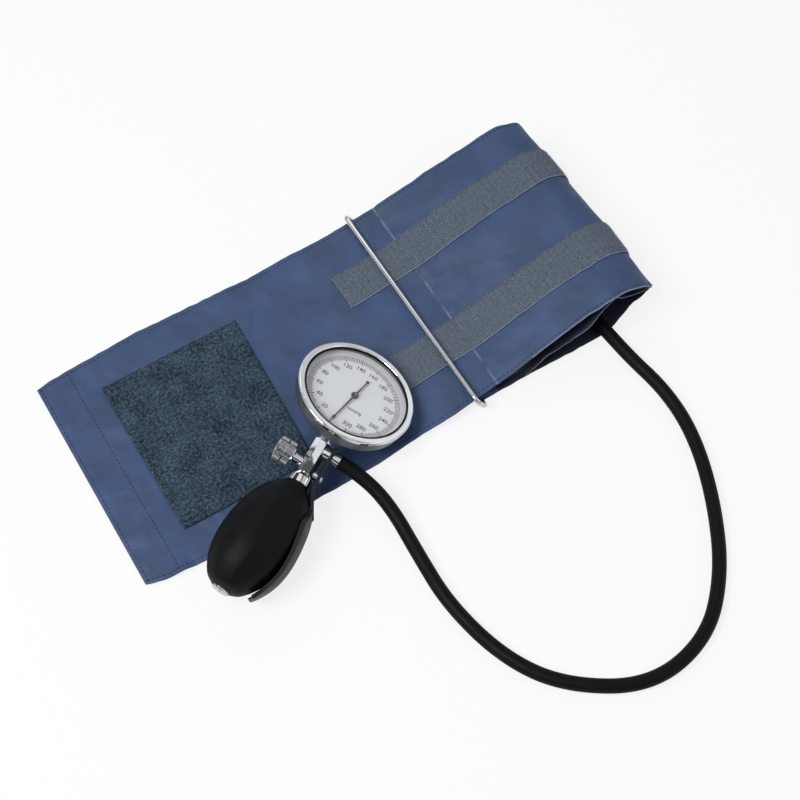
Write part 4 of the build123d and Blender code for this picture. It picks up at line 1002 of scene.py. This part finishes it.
liningEdgeHighlight = stitchPiece("liningEdgeHighlight", [edgeLine], edgeHighlightThread, **edgeHighlightStitch)
clothEdge, clothStop = stitchLook["clothEdge"], foldAt - stitchLook["edgeUntil"]
edgeLine = seamLine(overAt(stitchLook["clothEdgeStart"]), clothStop, clothEdge, clothEdge, clothSink)
clothEdgeHighlight = stitchPiece("clothEdgeHighlight", [edgeLine], edgeHighlightThread, **edgeHighlightStitch)
patchTop = -pileLook["thick"] - stitchLook["patchLift"]
patchIn = stitchLook["patchInset"]
patchLeft, patchRight = pileStart + patchIn, pileStop - patchIn
patchFront, patchBack = pileLook["front"] + patchIn, pileLook["back"] - patchIn
patchStitches = stitchPiece("patchStitches", [
    seamLine(*run, patchTop, pilePlace) for run in (
        (patchLeft, patchRight, patchFront, patchFront), (patchLeft, patchRight, patchBack, patchBack),
        (patchLeft, patchLeft, patchFront, patchBack), (patchRight, patchRight, patchFront, patchBack),
    )
], navyThread, **patchStitch)
print("stitches made")

# Hose
hoseLook = {
    "diameter": 8.0, "length": 474.0,
    "points": [
        (-149.394, -68.934, 20.121), (-141.680, -81.539, 15.446), (-136.5, -103.0, 9.6),
        (-137.5, -133.0, 5.2), (-138.5, -166.0, 4.1), (-129.5, -206.0, 4.1), (-110.5, -235.5, 4.1),
        (-72.0, -259.5, 4.1), (-31.0, -254.0, 4.1), (-2.0, -228.5, 4.1), (20.0, -192.5, 4.1),
        (35.0, -155.0, 4.1), (38.8, -122.0, 4.1), (32.8, -88.0, 4.65), (31.5, -63.0, 4.95),
    ],
}
hoseCurve = bpy.data.curves.new("rubberHose", "CURVE")
hoseCurve.dimensions = "3D"
hoseCurve.bevel_depth = hoseLook["diameter"] / 2 * mm
hoseCurve.bevel_resolution = 7
hoseCurve.resolution_u = 14
hoseCurve.use_fill_caps = True
hoseLine = hoseCurve.splines.new("NURBS")
hoseLine.points.add(len(hoseLook["points"]) - 1)
for point, spot in zip(hoseLine.points, hoseLook["points"]):
    point.co = (spot[0] * mm, spot[1] * mm, spot[2] * mm, 1.0)
hoseLine.order_u = 3
hoseLine.use_endpoint_u = True
hoseCurve.materials.append(matteRubber)
hose = addObject("rubberHose", hoseCurve)
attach(hose, "cuff_and_pump")
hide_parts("hose")
[c * mm for c in hoseLook["points"][0]]
print("hose laid")


# Squeeze bulb
def placing(origin, xWay, zWay):
    z = Vector(zWay).normalized()
    x = Vector(xWay)
    x = (x - z * x.dot(z)).normalized()
    y = z.cross(x)
    turn = Matrix((x, y, z)).transposed().to_4x4()
    return Matrix.Translation(Vector(origin) * mm) @ turn


def smoothOutline(points, each):
    # a flowing outline through the given points, as a moulder would draw it
    points = [np.array(p, float) for p in points]
    padded = [2 * points[0] - points[1]] + points + [2 * points[-1] - points[-2]]
    line = []
    for a, b, c, d in zip(padded, padded[1:], padded[2:], padded[3:]):
        for k in range(each):
            t = k / each
            line.append(0.5 * (2 * b + (c - a) * t + (2 * a - 5 * b + 4 * c - d) * t * t
                               + (3 * b - a - 3 * c + d) * t ** 3))
    return line + [points[-1]]


def turnedPiece(name, outline, segments, matrix, material, shape=None):
    # an outline of (radius, height) pairs spun about its axis; shape may move each point a little
    rows = len(outline)
    points, faces = [], []
    for radius, height in outline:
        for k in range(segments):
            angle = 2 * math.pi * k / segments
            r = radius + (shape(angle, radius, height) if shape else 0)
            points.append((r * math.cos(angle), r * math.sin(angle), height))
    for i in range(rows):
        for k in range(segments):
            a, b = i * segments + k, i * segments + (k + 1) % segments
            c, d = ((i + 1) % rows) * segments + (k + 1) % segments, ((i + 1) % rows) * segments + k
            faces.append((a, b, c, d))
    thing = meshObject(name, points, faces, material)
    thing.data.transform(matrix)
    return thing


bulbLook = {
    "origin": (-175.794, -69.742, 22.498), "axis": (-0.9044566, -0.4245327, -0.0415962),
    "front": (0.0946, -0.2948, 0.9509), "neck": (-0.8621695, -0.5017946, -0.0697565), "segments": 120,
    "outside": [(6.1, 0.05), (9.6, 4.0), (12.9, 8.0), (16.4, 14.0), (19.7, 25.0), (20.65, 38.0), (19.7, 50.0),
                (16.6, 60.0), (11.4, 68.0), (6.4, 71.2)],
    "outsideSteps": 6, "wall": 2.6, "mouth": 3.2, "plugBore": 3.7,
    "mouldLine": 0.12, "lineHalf": 0.5, "lineFrom": 5.0, "dent": 0.18, "dentRound": 1.5, "dentLong": 18.0,
    "formFrom": 4.0, "formOver": 6.0,
    "cavity": (3.2, 67.5), "plugEnd": 71.1, "mouthEnd": 1.1, "mouthGap": 0.06,
}


def bulbForm(angle, radius, height):
    # a fine mould line on two sides, and walls that are never quite round
    look = bulbLook
    c, s = math.cos(angle), math.sin(angle)
    line = look["mouldLine"] * math.exp(-(s * radius / look["lineHalf"]) ** 2)
    place = Vector((c * look["dentRound"], s * look["dentRound"], height / look["dentLong"]))
    wobble = look["dent"] * noise.noise(place)
    form = (line if radius > look["lineFrom"] else 0) + wobble
    return form * min(1, max(0, (radius - look["formFrom"]) / look["formOver"]))


outside = smoothOutline(bulbLook["outside"], bulbLook["outsideSteps"])
low, high = bulbLook["cavity"]
inside = [
    (max(r - bulbLook["wall"], bulbLook["plugBore"]), min(max(h, low), high)) for r, h in outside[::-1]
]
inside = [(bulbLook["plugBore"], bulbLook["plugEnd"])] + inside[2:-2]
inside += [(bulbLook["mouth"], low), (bulbLook["mouth"], bulbLook["mouthEnd"])]
bulbTurn = placing(bulbLook["origin"], bulbLook["front"], bulbLook["axis"])
bulb = turnedPiece("squeezeBulb", outside + inside, bulbLook["segments"], bulbTurn, matteRubber, bulbForm)
# the mouth sits square on the valve, although the bulb leans to one side of it
neckWay, bulbWay = Vector(bulbLook["neck"]), Vector(bulbLook["axis"])
mouthPlace = Vector(bulbLook["origin"]) * mm
bulbSpots = list(bulb.data.vertices)
for spot in bulbSpots[:bulbLook["segments"]] + bulbSpots[-bulbLook["segments"]:]:
    past = (spot.co - mouthPlace).dot(neckWay) - bulbLook["mouthGap"] * mm
    spot.co -= bulbWay * past / bulbWay.dot(neckWay)
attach(bulb, "cuff_and_pump")
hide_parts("bulb")
print("bulb made")

# Metal, plastic and glass on the CAD nodes
chromeLook = {
    "dark": "#D2D5D8", "light": "#E9EBED", "smudgeMm": 9.0, "grainMm": 1.5, "smooth": 0.02, "rough": 0.06,
    "bump": 0.0,
}
satinLook = {
    "dark": "#A2A4A6", "light": "#CDCFD1", "smudgeMm": 1.2, "grainMm": 0.35, "smooth": 0.12, "rough": 0.3,
    "bump": 0.1,
}
castLook = {
    "dark": "#D2D5D8", "light": "#E9EBED", "smudgeMm": 9.0, "grainMm": 13.0, "detail": 0.0, "deep": 2.2,
    "smooth": 0.02, "rough": 0.05, "bump": 1.0,
}
wireLook = {
    "dark": "#C9CCCF", "light": "#E2E4E6", "smudgeMm": 12.0, "grainMm": 1.0, "smooth": 0.05, "rough": 0.12,
    "bump": 0.0,
}
caseLook = {
    "dark": "#4C5055", "light": "#A3A7AC", "smudgeMm": 0.8, "grainMm": 0.55, "smooth": 0.34, "rough": 0.5,
    "bump": 0.8,
}
brassLook = {
    "dark": "#9A7838", "light": "#C9A35B", "smudgeMm": 2.5, "grainMm": 0.3, "smooth": 0.2, "rough": 0.36,
    "bump": 0.2,
}
steelLook = {
    "dark": "#7F8386", "light": "#A7ABAE", "smudgeMm": 2.0, "grainMm": 0.25, "smooth": 0.22, "rough": 0.36,
    "bump": 0.15,
}
paleLook = {
    "dark": "#B4B6B8", "light": "#D7D9DB", "smudgeMm": 2.5, "grainMm": 0.3, "smooth": 0.16, "rough": 0.3,
    "bump": 0.15,
}
plasticLook = {
    "dark": "#0C0D0F", "light": "#17181C", "rough": 0.38, "roughSpread": 0.06, "bloomMm": 9.0, "grainMm": 0.4,
    "bump": 0.12, "ior": 1.49, "specular": 0.4,
}
paintLook = {
    "dark": "#050506", "light": "#0A0A0C", "rough": 0.6, "roughSpread": 0.05, "bloomMm": 5.0, "grainMm": 0.4,
    "bump": 0.06, "ior": 1.5, "specular": 0.12,
}
enamelLook = {
    "dark": "#EDF0F4", "light": "#F8FAFC", "rough": 0.42, "roughSpread": 0.05, "bloomMm": 16.0,
    "grainMm": 0.35, "bump": 0.05, "ior": 1.5,
}
finishes = {
    "bright_chrome": metalMaterial("polishedChrome", chromeLook),
    "satin_chrome": metalMaterial("satinChrome", satinLook),
    "turned_brass": metalMaterial("turnedBrass", brassLook),
    "steel": metalMaterial("drawnSteel", steelLook),
    "pale_metal": metalMaterial("turnedAluminium", paleLook),
    "black_plastic": speckledMaterial("mouldedBlackPlastic", plasticLook),
    "black_paint": speckledMaterial("blackEnamel", paintLook),
    "dial_paint": speckledMaterial("silverDialEnamel", enamelLook),
    "black_rubber": matteRubber,
    "bladder_rubber": matteRubber,
}


def lensMaterial(name):
    # a clear flat acrylic lens: it lets the light through to the dial and mirrors a little at a slant
    material, tree, shader = startMaterial(name)
    setShader(
        tree, shader, Base_Color=linearColour("#FCFCFC"), Roughness=0.03, IOR=1.49, Transmission_Weight=1.0
    )
    clear = addNode(tree, "ShaderNodeBsdfTransparent", {"Color": linearColour("#FBFBFB")})
    soft = eitherRay(tree, "Shadow", "Diffuse")
    mixed = addNode(tree, "ShaderNodeMixShader", {0: soft, 1: shader, 2: clear})
    surfaceEnd(tree, mixed)
    return material


finishes["clear_lens"] = lensMaterial("clearAcrylicLens")
ownFinish = {
    "gauge_case": metalMaterial("sprayedCaseMetal", caseLook), "release_spindle": finishes["bright_chrome"],
    "cuff_ring": metalMaterial("polishedRingWire", wireLook),
    "valve_body": metalMaterial("castBodyChrome", castLook),
}
for label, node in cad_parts.items():
    for place in node.material_slots:
        kind = place.material.name.split(".")[0] if place.material else ""
        if label in ownFinish:
            place.material = ownFinish[label]
        elif kind in finishes:
            place.material = finishes[kind]
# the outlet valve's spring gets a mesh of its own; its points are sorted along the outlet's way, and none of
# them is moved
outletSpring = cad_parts["outlet_valve_spring"]
outletWay, outletLift = -neckWay, 0.56 * mm
springSpots = [outletSpring.matrix_world @ corner.co for corner in outletSpring.data.vertices]
springSpots.sort(key=outletWay.dot)
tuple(outletWay)
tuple(springSpots[-1])
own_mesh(outletSpring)
print("finishes put on")

# Dial
gaugeAxes = Matrix((
    (0.4977034, -0.8132088, -0.3016333), (0.7476, 0.5785, -0.3262), (0.4397383, -0.0631749, 0.8959013),
)).transposed()
gaugeTurn = Matrix.Translation(Vector((-120.6, -40.9, 30.0)) * mm) @ gaugeAxes.to_4x4()
dialLook = {
    "face": -5.6, "zero": -101.25, "perUnit": 1.125, "full": 300, "ringOut": 28.3, "ink": 0.04, "lift": 0.005,
    "rows": [
        {"name": "fine", "unit": 2, "long": 3.1, "wide": 0.36},
        {"name": "half", "unit": 10, "long": 3.6, "wide": 0.36},
        {"name": "bold", "unit": 20, "long": 3.9, "wide": 0.5},
    ],
    "numberRadius": 21.2, "numberSize": 3.9, "bolder": 0.04, "wordSize": 3.3, "wordAt": (4.2, -9.6),
    "gapMark": {"long": 2.6, "wide": 0.3},
}
printInk = speckledMaterial("printedBlackInk", {
    "dark": "#0E0F11", "light": "#17181B", "rough": 0.55, "roughSpread": 0.04, "bloomMm": 4.0, "grainMm": 0.3,
    "bump": 0.03, "ior": 1.5, "specular": 0.3,
})


def tickTree():
    sizes = {
        "Radius": 0.02, "Length": 0.002, "Width": 0.0002, "Thickness": 0.00004, "First Angle": 0.0,
        "Step Angle": -0.1,
    }
    tree, start = startTree("ticksOnDial", sizes, {"Count": 10})
    row = addNode(tree, "GeometryNodeMeshLine", {"Count": start["Count"]})
    index = addNode(tree, "GeometryNodeInputIndex")
    angle = addNode(
        tree, "ShaderNodeMath", {0: index, 1: start["Step Angle"], 2: start["First Angle"]},
        operation="MULTIPLY_ADD",
    )
    across, upward = (
        addNode(tree, "ShaderNodeMath", {0: angle}, operation=kind) for kind in ("COSINE", "SINE")
    )
    spot = addNode(tree, "ShaderNodeCombineXYZ", {"X": across, "Y": upward})
    scaled = addNode(tree, "ShaderNodeVectorMath", {0: spot, "Scale": start["Radius"]}, operation="SCALE")
    laid = addNode(tree, "GeometryNodeSetPosition", {"Geometry": row, "Position": scaled})
    size = addNode(
        tree, "ShaderNodeCombineXYZ", {"X": start["Length"], "Y": start["Width"], "Z": start["Thickness"]}
    )
    bar = addNode(tree, "GeometryNodeMeshCube", {"Size": size})
    turned = addNode(tree, "ShaderNodeCombineXYZ", {"Z": angle})
    return endTree(tree, start, laid, bar, turned)


ticksTree = tickTree()
dialMarks = []
inkHeight = dialLook["face"] + dialLook["ink"] / 2 + dialLook["lift"]


def tickRow(name, count, first, step, long, wide):
    ticks = addObject(name, bpy.data.meshes.new(name))
    grownMesh(ticks, ticksTree, {
        "Count": count, "Radius": (dialLook["ringOut"] - long / 2) * mm, "Length": long * mm,
        "Width": wide * mm, "Thickness": dialLook["ink"] * mm, "First Angle": math.radians(first),
        "Step Angle": math.radians(step), "Material": printInk,
    })
    shade(ticks.data, False)
    ticks.data.transform(Matrix.Translation((0, 0, inkHeight * mm)))
    dialMarks.append(ticks)


for row in dialLook["rows"]:
    tickRow(
        "ticks_" + row["name"], dialLook["full"] // row["unit"] + 1, dialLook["zero"],
        -dialLook["perUnit"] * row["unit"], row["long"], row["wide"],
    )
tickRow("tickInGap", 1, -90.0, 0.0, dialLook["gapMark"]["long"], dialLook["gapMark"]["wide"])


def printedWord(name, text, size, spot):
    # a printed word or number, drawn as thin ink on the dial
    curve = bpy.data.curves.new(name, "FONT")
    curve.body = text
    curve.size = size * mm
    curve.align_x = "CENTER"
    curve.align_y = "CENTER"
    curve.offset = dialLook["bolder"] * mm
    curve.extrude = dialLook["ink"] / 2 * mm
    word = addObject(name, curve)
    mesh = bpy.data.meshes.new_from_object(word.evaluated_get(bpy.context.evaluated_depsgraph_get()))
    bpy.data.objects.remove(word)
    mesh.materials.clear()
    mesh.materials.append(printInk)
    mesh.transform(Matrix.Translation((spot[0] * mm, spot[1] * mm, inkHeight * mm)))
    dialMarks.append(addObject(name, mesh))


for number in range(20, dialLook["full"] + 1, 20):
    angle = math.radians(dialLook["zero"] - dialLook["perUnit"] * number)
    spot = (dialLook["numberRadius"] * math.cos(angle), dialLook["numberRadius"] * math.sin(angle))
    printedWord("number_%d" % number, str(number), dialLook["numberSize"], spot)
printedWord("unitWord", "mmHg", dialLook["wordSize"], dialLook["wordAt"])
for mark in dialMarks:
    mark.data.transform(gaugeTurn)
dialPrint = joined(dialMarks)
dialPrint.name = "dialScale"
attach(dialPrint, "cuff_and_pump")
# a black ring on the lens, reaching in past the bezel lip: partly the gasket's inner wall, partly painted
# shade along the dial's edge
sealShadeOutline = [(30.25, -0.98), (31.16, -0.98), (31.16, -0.45), (30.9, -0.38), (30.25, -0.75)]
lensSealShade = turnedPiece("lensSealShade", sealShadeOutline, 120, gaugeTurn, finishes["black_rubber"])
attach(lensSealShade, "cuff_and_pump")
print("dial printed,", len(dialPrint.data.polygons), "faces")

# Release knob
knobLook = {
    "origin": (-165.276, -63.62, 23.349), "axis": (-0.4977034, 0.8132088, 0.3016333),
    "across": (-0.8621695, -0.5017946, -0.0697565),
    "radius": 6.52, "low": 10.4, "high": 21.2, "groove": 15.8, "grooveHalf": 0.45, "grooveFloor": 5.95,
    "grooveSlope": 0.02, "bore": 2.02, "hub": 0.01, "cap": 1.0, "segments": 72,
    "foot": [(1.2, 0.0), (0.2, 0.8), (0.0, 1.2)], "top": [(0.0, 0.9), (0.3, 0.4), (0.9, 0.0)],
    "ribEnds": (1.0, 0.8), "ribCount": 50, "ribHeight": 0.4, "ribWidth": 0.5,
}


def ribTree():
    sizes = {"Radius": 0.007, "Height": 0.0004, "Width": 0.0004, "Low": 0.0, "High": 0.005}
    tree, start = startTree("ribsRoundKnob", sizes, {"Count": 48})
    ring = addNode(tree, "GeometryNodeMeshCircle", {"Vertices": start["Count"], "Radius": start["Radius"]})
    long, both = (
        addNode(tree, "ShaderNodeMath", {0: start["High"], 1: start["Low"]}, operation=kind)
        for kind in ("SUBTRACT", "ADD")
    )
    middle = addNode(tree, "ShaderNodeMath", {0: both, 1: 0.5}, operation="MULTIPLY")
    rib = addNode(
        tree, "GeometryNodeMeshCylinder", {"Vertices": 4, "Radius": 1.0, "Depth": long}, fill_type="NGON"
    )
    size = addNode(tree, "ShaderNodeCombineXYZ", {"X": start["Height"], "Y": start["Width"], "Z": 1.0})
    lift = addNode(tree, "ShaderNodeCombineXYZ", {"Z": middle})
    shaped = addNode(tree, "GeometryNodeTransform", {"Geometry": rib, "Scale": size, "Translation": lift})
    index = addNode(tree, "GeometryNodeInputIndex")
    part = addNode(tree, "ShaderNodeMath", {0: index, 1: 2 * math.pi}, operation="MULTIPLY")
    angle = addNode(tree, "ShaderNodeMath", {0: part, 1: start["Count"]}, operation="DIVIDE")
    turned = addNode(tree, "ShaderNodeCombineXYZ", {"Z": angle})
    return endTree(tree, start, ring, shaped, turned)


k = knobLook
knobTurn = placing(k["origin"], k["across"], k["axis"])
grooveLow, grooveHigh = k["groove"] - k["grooveHalf"], k["groove"] + k["grooveHalf"]
capLow = k["high"] - k["cap"]
knobCore = turnedPiece("knurledKnob", [
    (k["bore"], k["low"]), *((k["radius"] - inward, k["low"] + up) for inward, up in k["foot"]),
    (k["radius"], grooveLow), (k["grooveFloor"], grooveLow + k["grooveSlope"]),
    (k["grooveFloor"], grooveHigh - k["grooveSlope"]), (k["radius"], grooveHigh),
    *((k["radius"] - inward, k["high"] - down) for inward, down in k["top"]),
    (k["hub"], k["high"]), (k["hub"], capLow), (k["bore"], capLow),
], k["segments"], knobTurn, finishes["satin_chrome"])
shade(knobCore.data, False)
ribsTree = ribTree()
knobParts = [knobCore]
ribLow, ribHigh = k["low"] + k["ribEnds"][0], k["high"] - k["ribEnds"][1]
for label, low, high in (("low", ribLow, grooveLow), ("high", grooveHigh, ribHigh)):
    ribs = addObject("knobRibs_" + label, bpy.data.meshes.new("knobRibs_" + label))
    grownMesh(ribs, ribsTree, {
        "Count": k["ribCount"], "Radius": k["radius"] * mm, "Height": k["ribHeight"] * mm,
        "Width": k["ribWidth"] / 2 * mm, "Low": low * mm, "High": high * mm,
        "Material": finishes["satin_chrome"],
    })
    shade(ribs.data, False)
    ribs.data.transform(knobTurn)
    knobParts.append(ribs)
joined(knobParts)
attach(knobCore, "knob")
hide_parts("release_knob")
print("knob made,", len(knobCore.data.polygons), "faces")

# Studio
studio = {
    "floorHalf": 3.0, "floorDrop": 0.2, "floor": "#FDFDFD", "shadowShare": 0.2,
    "world": "#EFF3F8", "worldStrength": 0.34,
    "bands": [
        (0.0, 0.02), (0.5, 0.02), (0.545, 0.5), (0.6, 0.05), (0.66, 0.95), (0.74, 1.0), (0.78, 0.06),
        (0.87, 0.03), (0.905, 0.95), (0.945, 0.9), (0.965, 0.1), (1.0, 0.2),
    ],
    "bandSway": 0.34, "swayScale": 1.7, "aim": (-0.1, -0.05, 0.0),
    "lamps": [
        {"name": "keySoftbox", "place": (-0.95, -0.05, 1.3), "size": 0.7, "power": 14.5},
        {"name": "fillSoftbox", "place": (0.75, -0.95, 1.05), "size": 1.1, "power": 2.2},
        {"name": "rearSoftbox", "place": (0.3, 1.0, 1.1), "size": 0.9, "power": 3.0},
    ],
}
half = studio["floorHalf"]
corners = [(-half, -half, 0), (half, -half, 0), (half, half, 0), (-half, half, 0)]
floorMesh = bpy.data.meshes.new("paleFloor")
floorMesh.from_pydata(corners, [], [(0, 1, 2, 3)])
floor = addObject("paleFloor", floorMesh)
floor.location.z = -studio["floorDrop"] * mm
floorPaper, floorTree, floorShader = startMaterial("paleStudioPaper")
setShader(floorTree, floorShader, Base_Color=linearColour(studio["floor"]), Roughness=0.9)
seen = eitherRay(floorTree, "Camera", "Transmission")
glow = addNode(floorTree, "ShaderNodeMath", {0: seen, 1: 1 - studio["shadowShare"]}, operation="MULTIPLY")
white = addNode(floorTree, "ShaderNodeEmission", {"Color": (1, 1, 1, 1), "Strength": 1.0})
blend = addNode(floorTree, "ShaderNodeMixShader", {0: glow, 1: floorShader, 2: white})
surfaceEnd(floorTree, blend)
floorMesh.materials.append(floorPaper)

world = bpy.data.worlds.new("paleStudio")
bpy.context.scene.world = world
world.use_nodes = True
airTree = world.node_tree
airTree.nodes.clear()
airRays = addNode(airTree, "ShaderNodeLightPath")
airSeen = eitherRay(airTree, "Camera", "Transmission")
backdrop = addNode(airTree, "ShaderNodeBackground", {"Color": (1, 1, 1, 1), "Strength": 1.0})
# polished metal mirrors a room of windows and dark walls instead of the even light
airWay = addNode(airTree, "ShaderNodeTexCoord").outputs["Generated"]
airHeight = addNode(airTree, "ShaderNodeSeparateXYZ", {0: airWay}).outputs["Z"]
airSway = addNode(
    airTree, "ShaderNodeTexNoise", {"Vector": airWay, "Scale": studio["swayScale"], "Detail": 1.0}
)
airOff = addNode(
    airTree, "ShaderNodeMapRange",
    {"Value": airSway, "To Min": -studio["bandSway"], "To Max": studio["bandSway"]},
)
airBent = addNode(airTree, "ShaderNodeMath", {0: airHeight, 1: airOff}, operation="ADD")
airShare = addNode(airTree, "ShaderNodeMapRange", {"Value": airBent, "From Min": -1.0, "From Max": 1.0})
roomBands = addNode(airTree, "ShaderNodeValToRGB", {"Fac": airShare})
stops = roomBands.color_ramp.elements
while len(stops) < len(studio["bands"]):
    stops.new(0.5)
for stop, (at, level) in zip(stops, studio["bands"]):
    stop.position = at
    stop.color = (level, level, level * 1.02, 1.0)
room = addNode(airTree, "ShaderNodeBackground", {"Color": roomBands, "Strength": 1.0})
air = addNode(
    airTree, "ShaderNodeBackground",
    {"Color": linearColour(studio["world"]), "Strength": studio["worldStrength"]},
)
airMirror = addNode(airTree, "ShaderNodeMixShader", {0: airRays.outputs["Is Glossy Ray"], 1: air, 2: room})
airMix = addNode(airTree, "ShaderNodeMixShader", {0: airSeen, 1: airMirror, 2: backdrop})
addNode(airTree, "ShaderNodeOutputWorld", {"Surface": airMix})
for lamp in studio["lamps"]:
    data = bpy.data.lights.new(lamp["name"], "AREA")
    data.energy = lamp["power"]
    data.shape = "SQUARE"
    data.size = lamp["size"]
    aim = Vector(studio["aim"]) - Vector(lamp["place"])
    turn = aim.to_track_quat("-Z", "Y").to_matrix().to_4x4()
    addObject(lamp["name"], data).matrix_world = Matrix.Translation(lamp["place"]) @ turn
print("studio lit")

bpy.context.view_layer.update()
print("done")
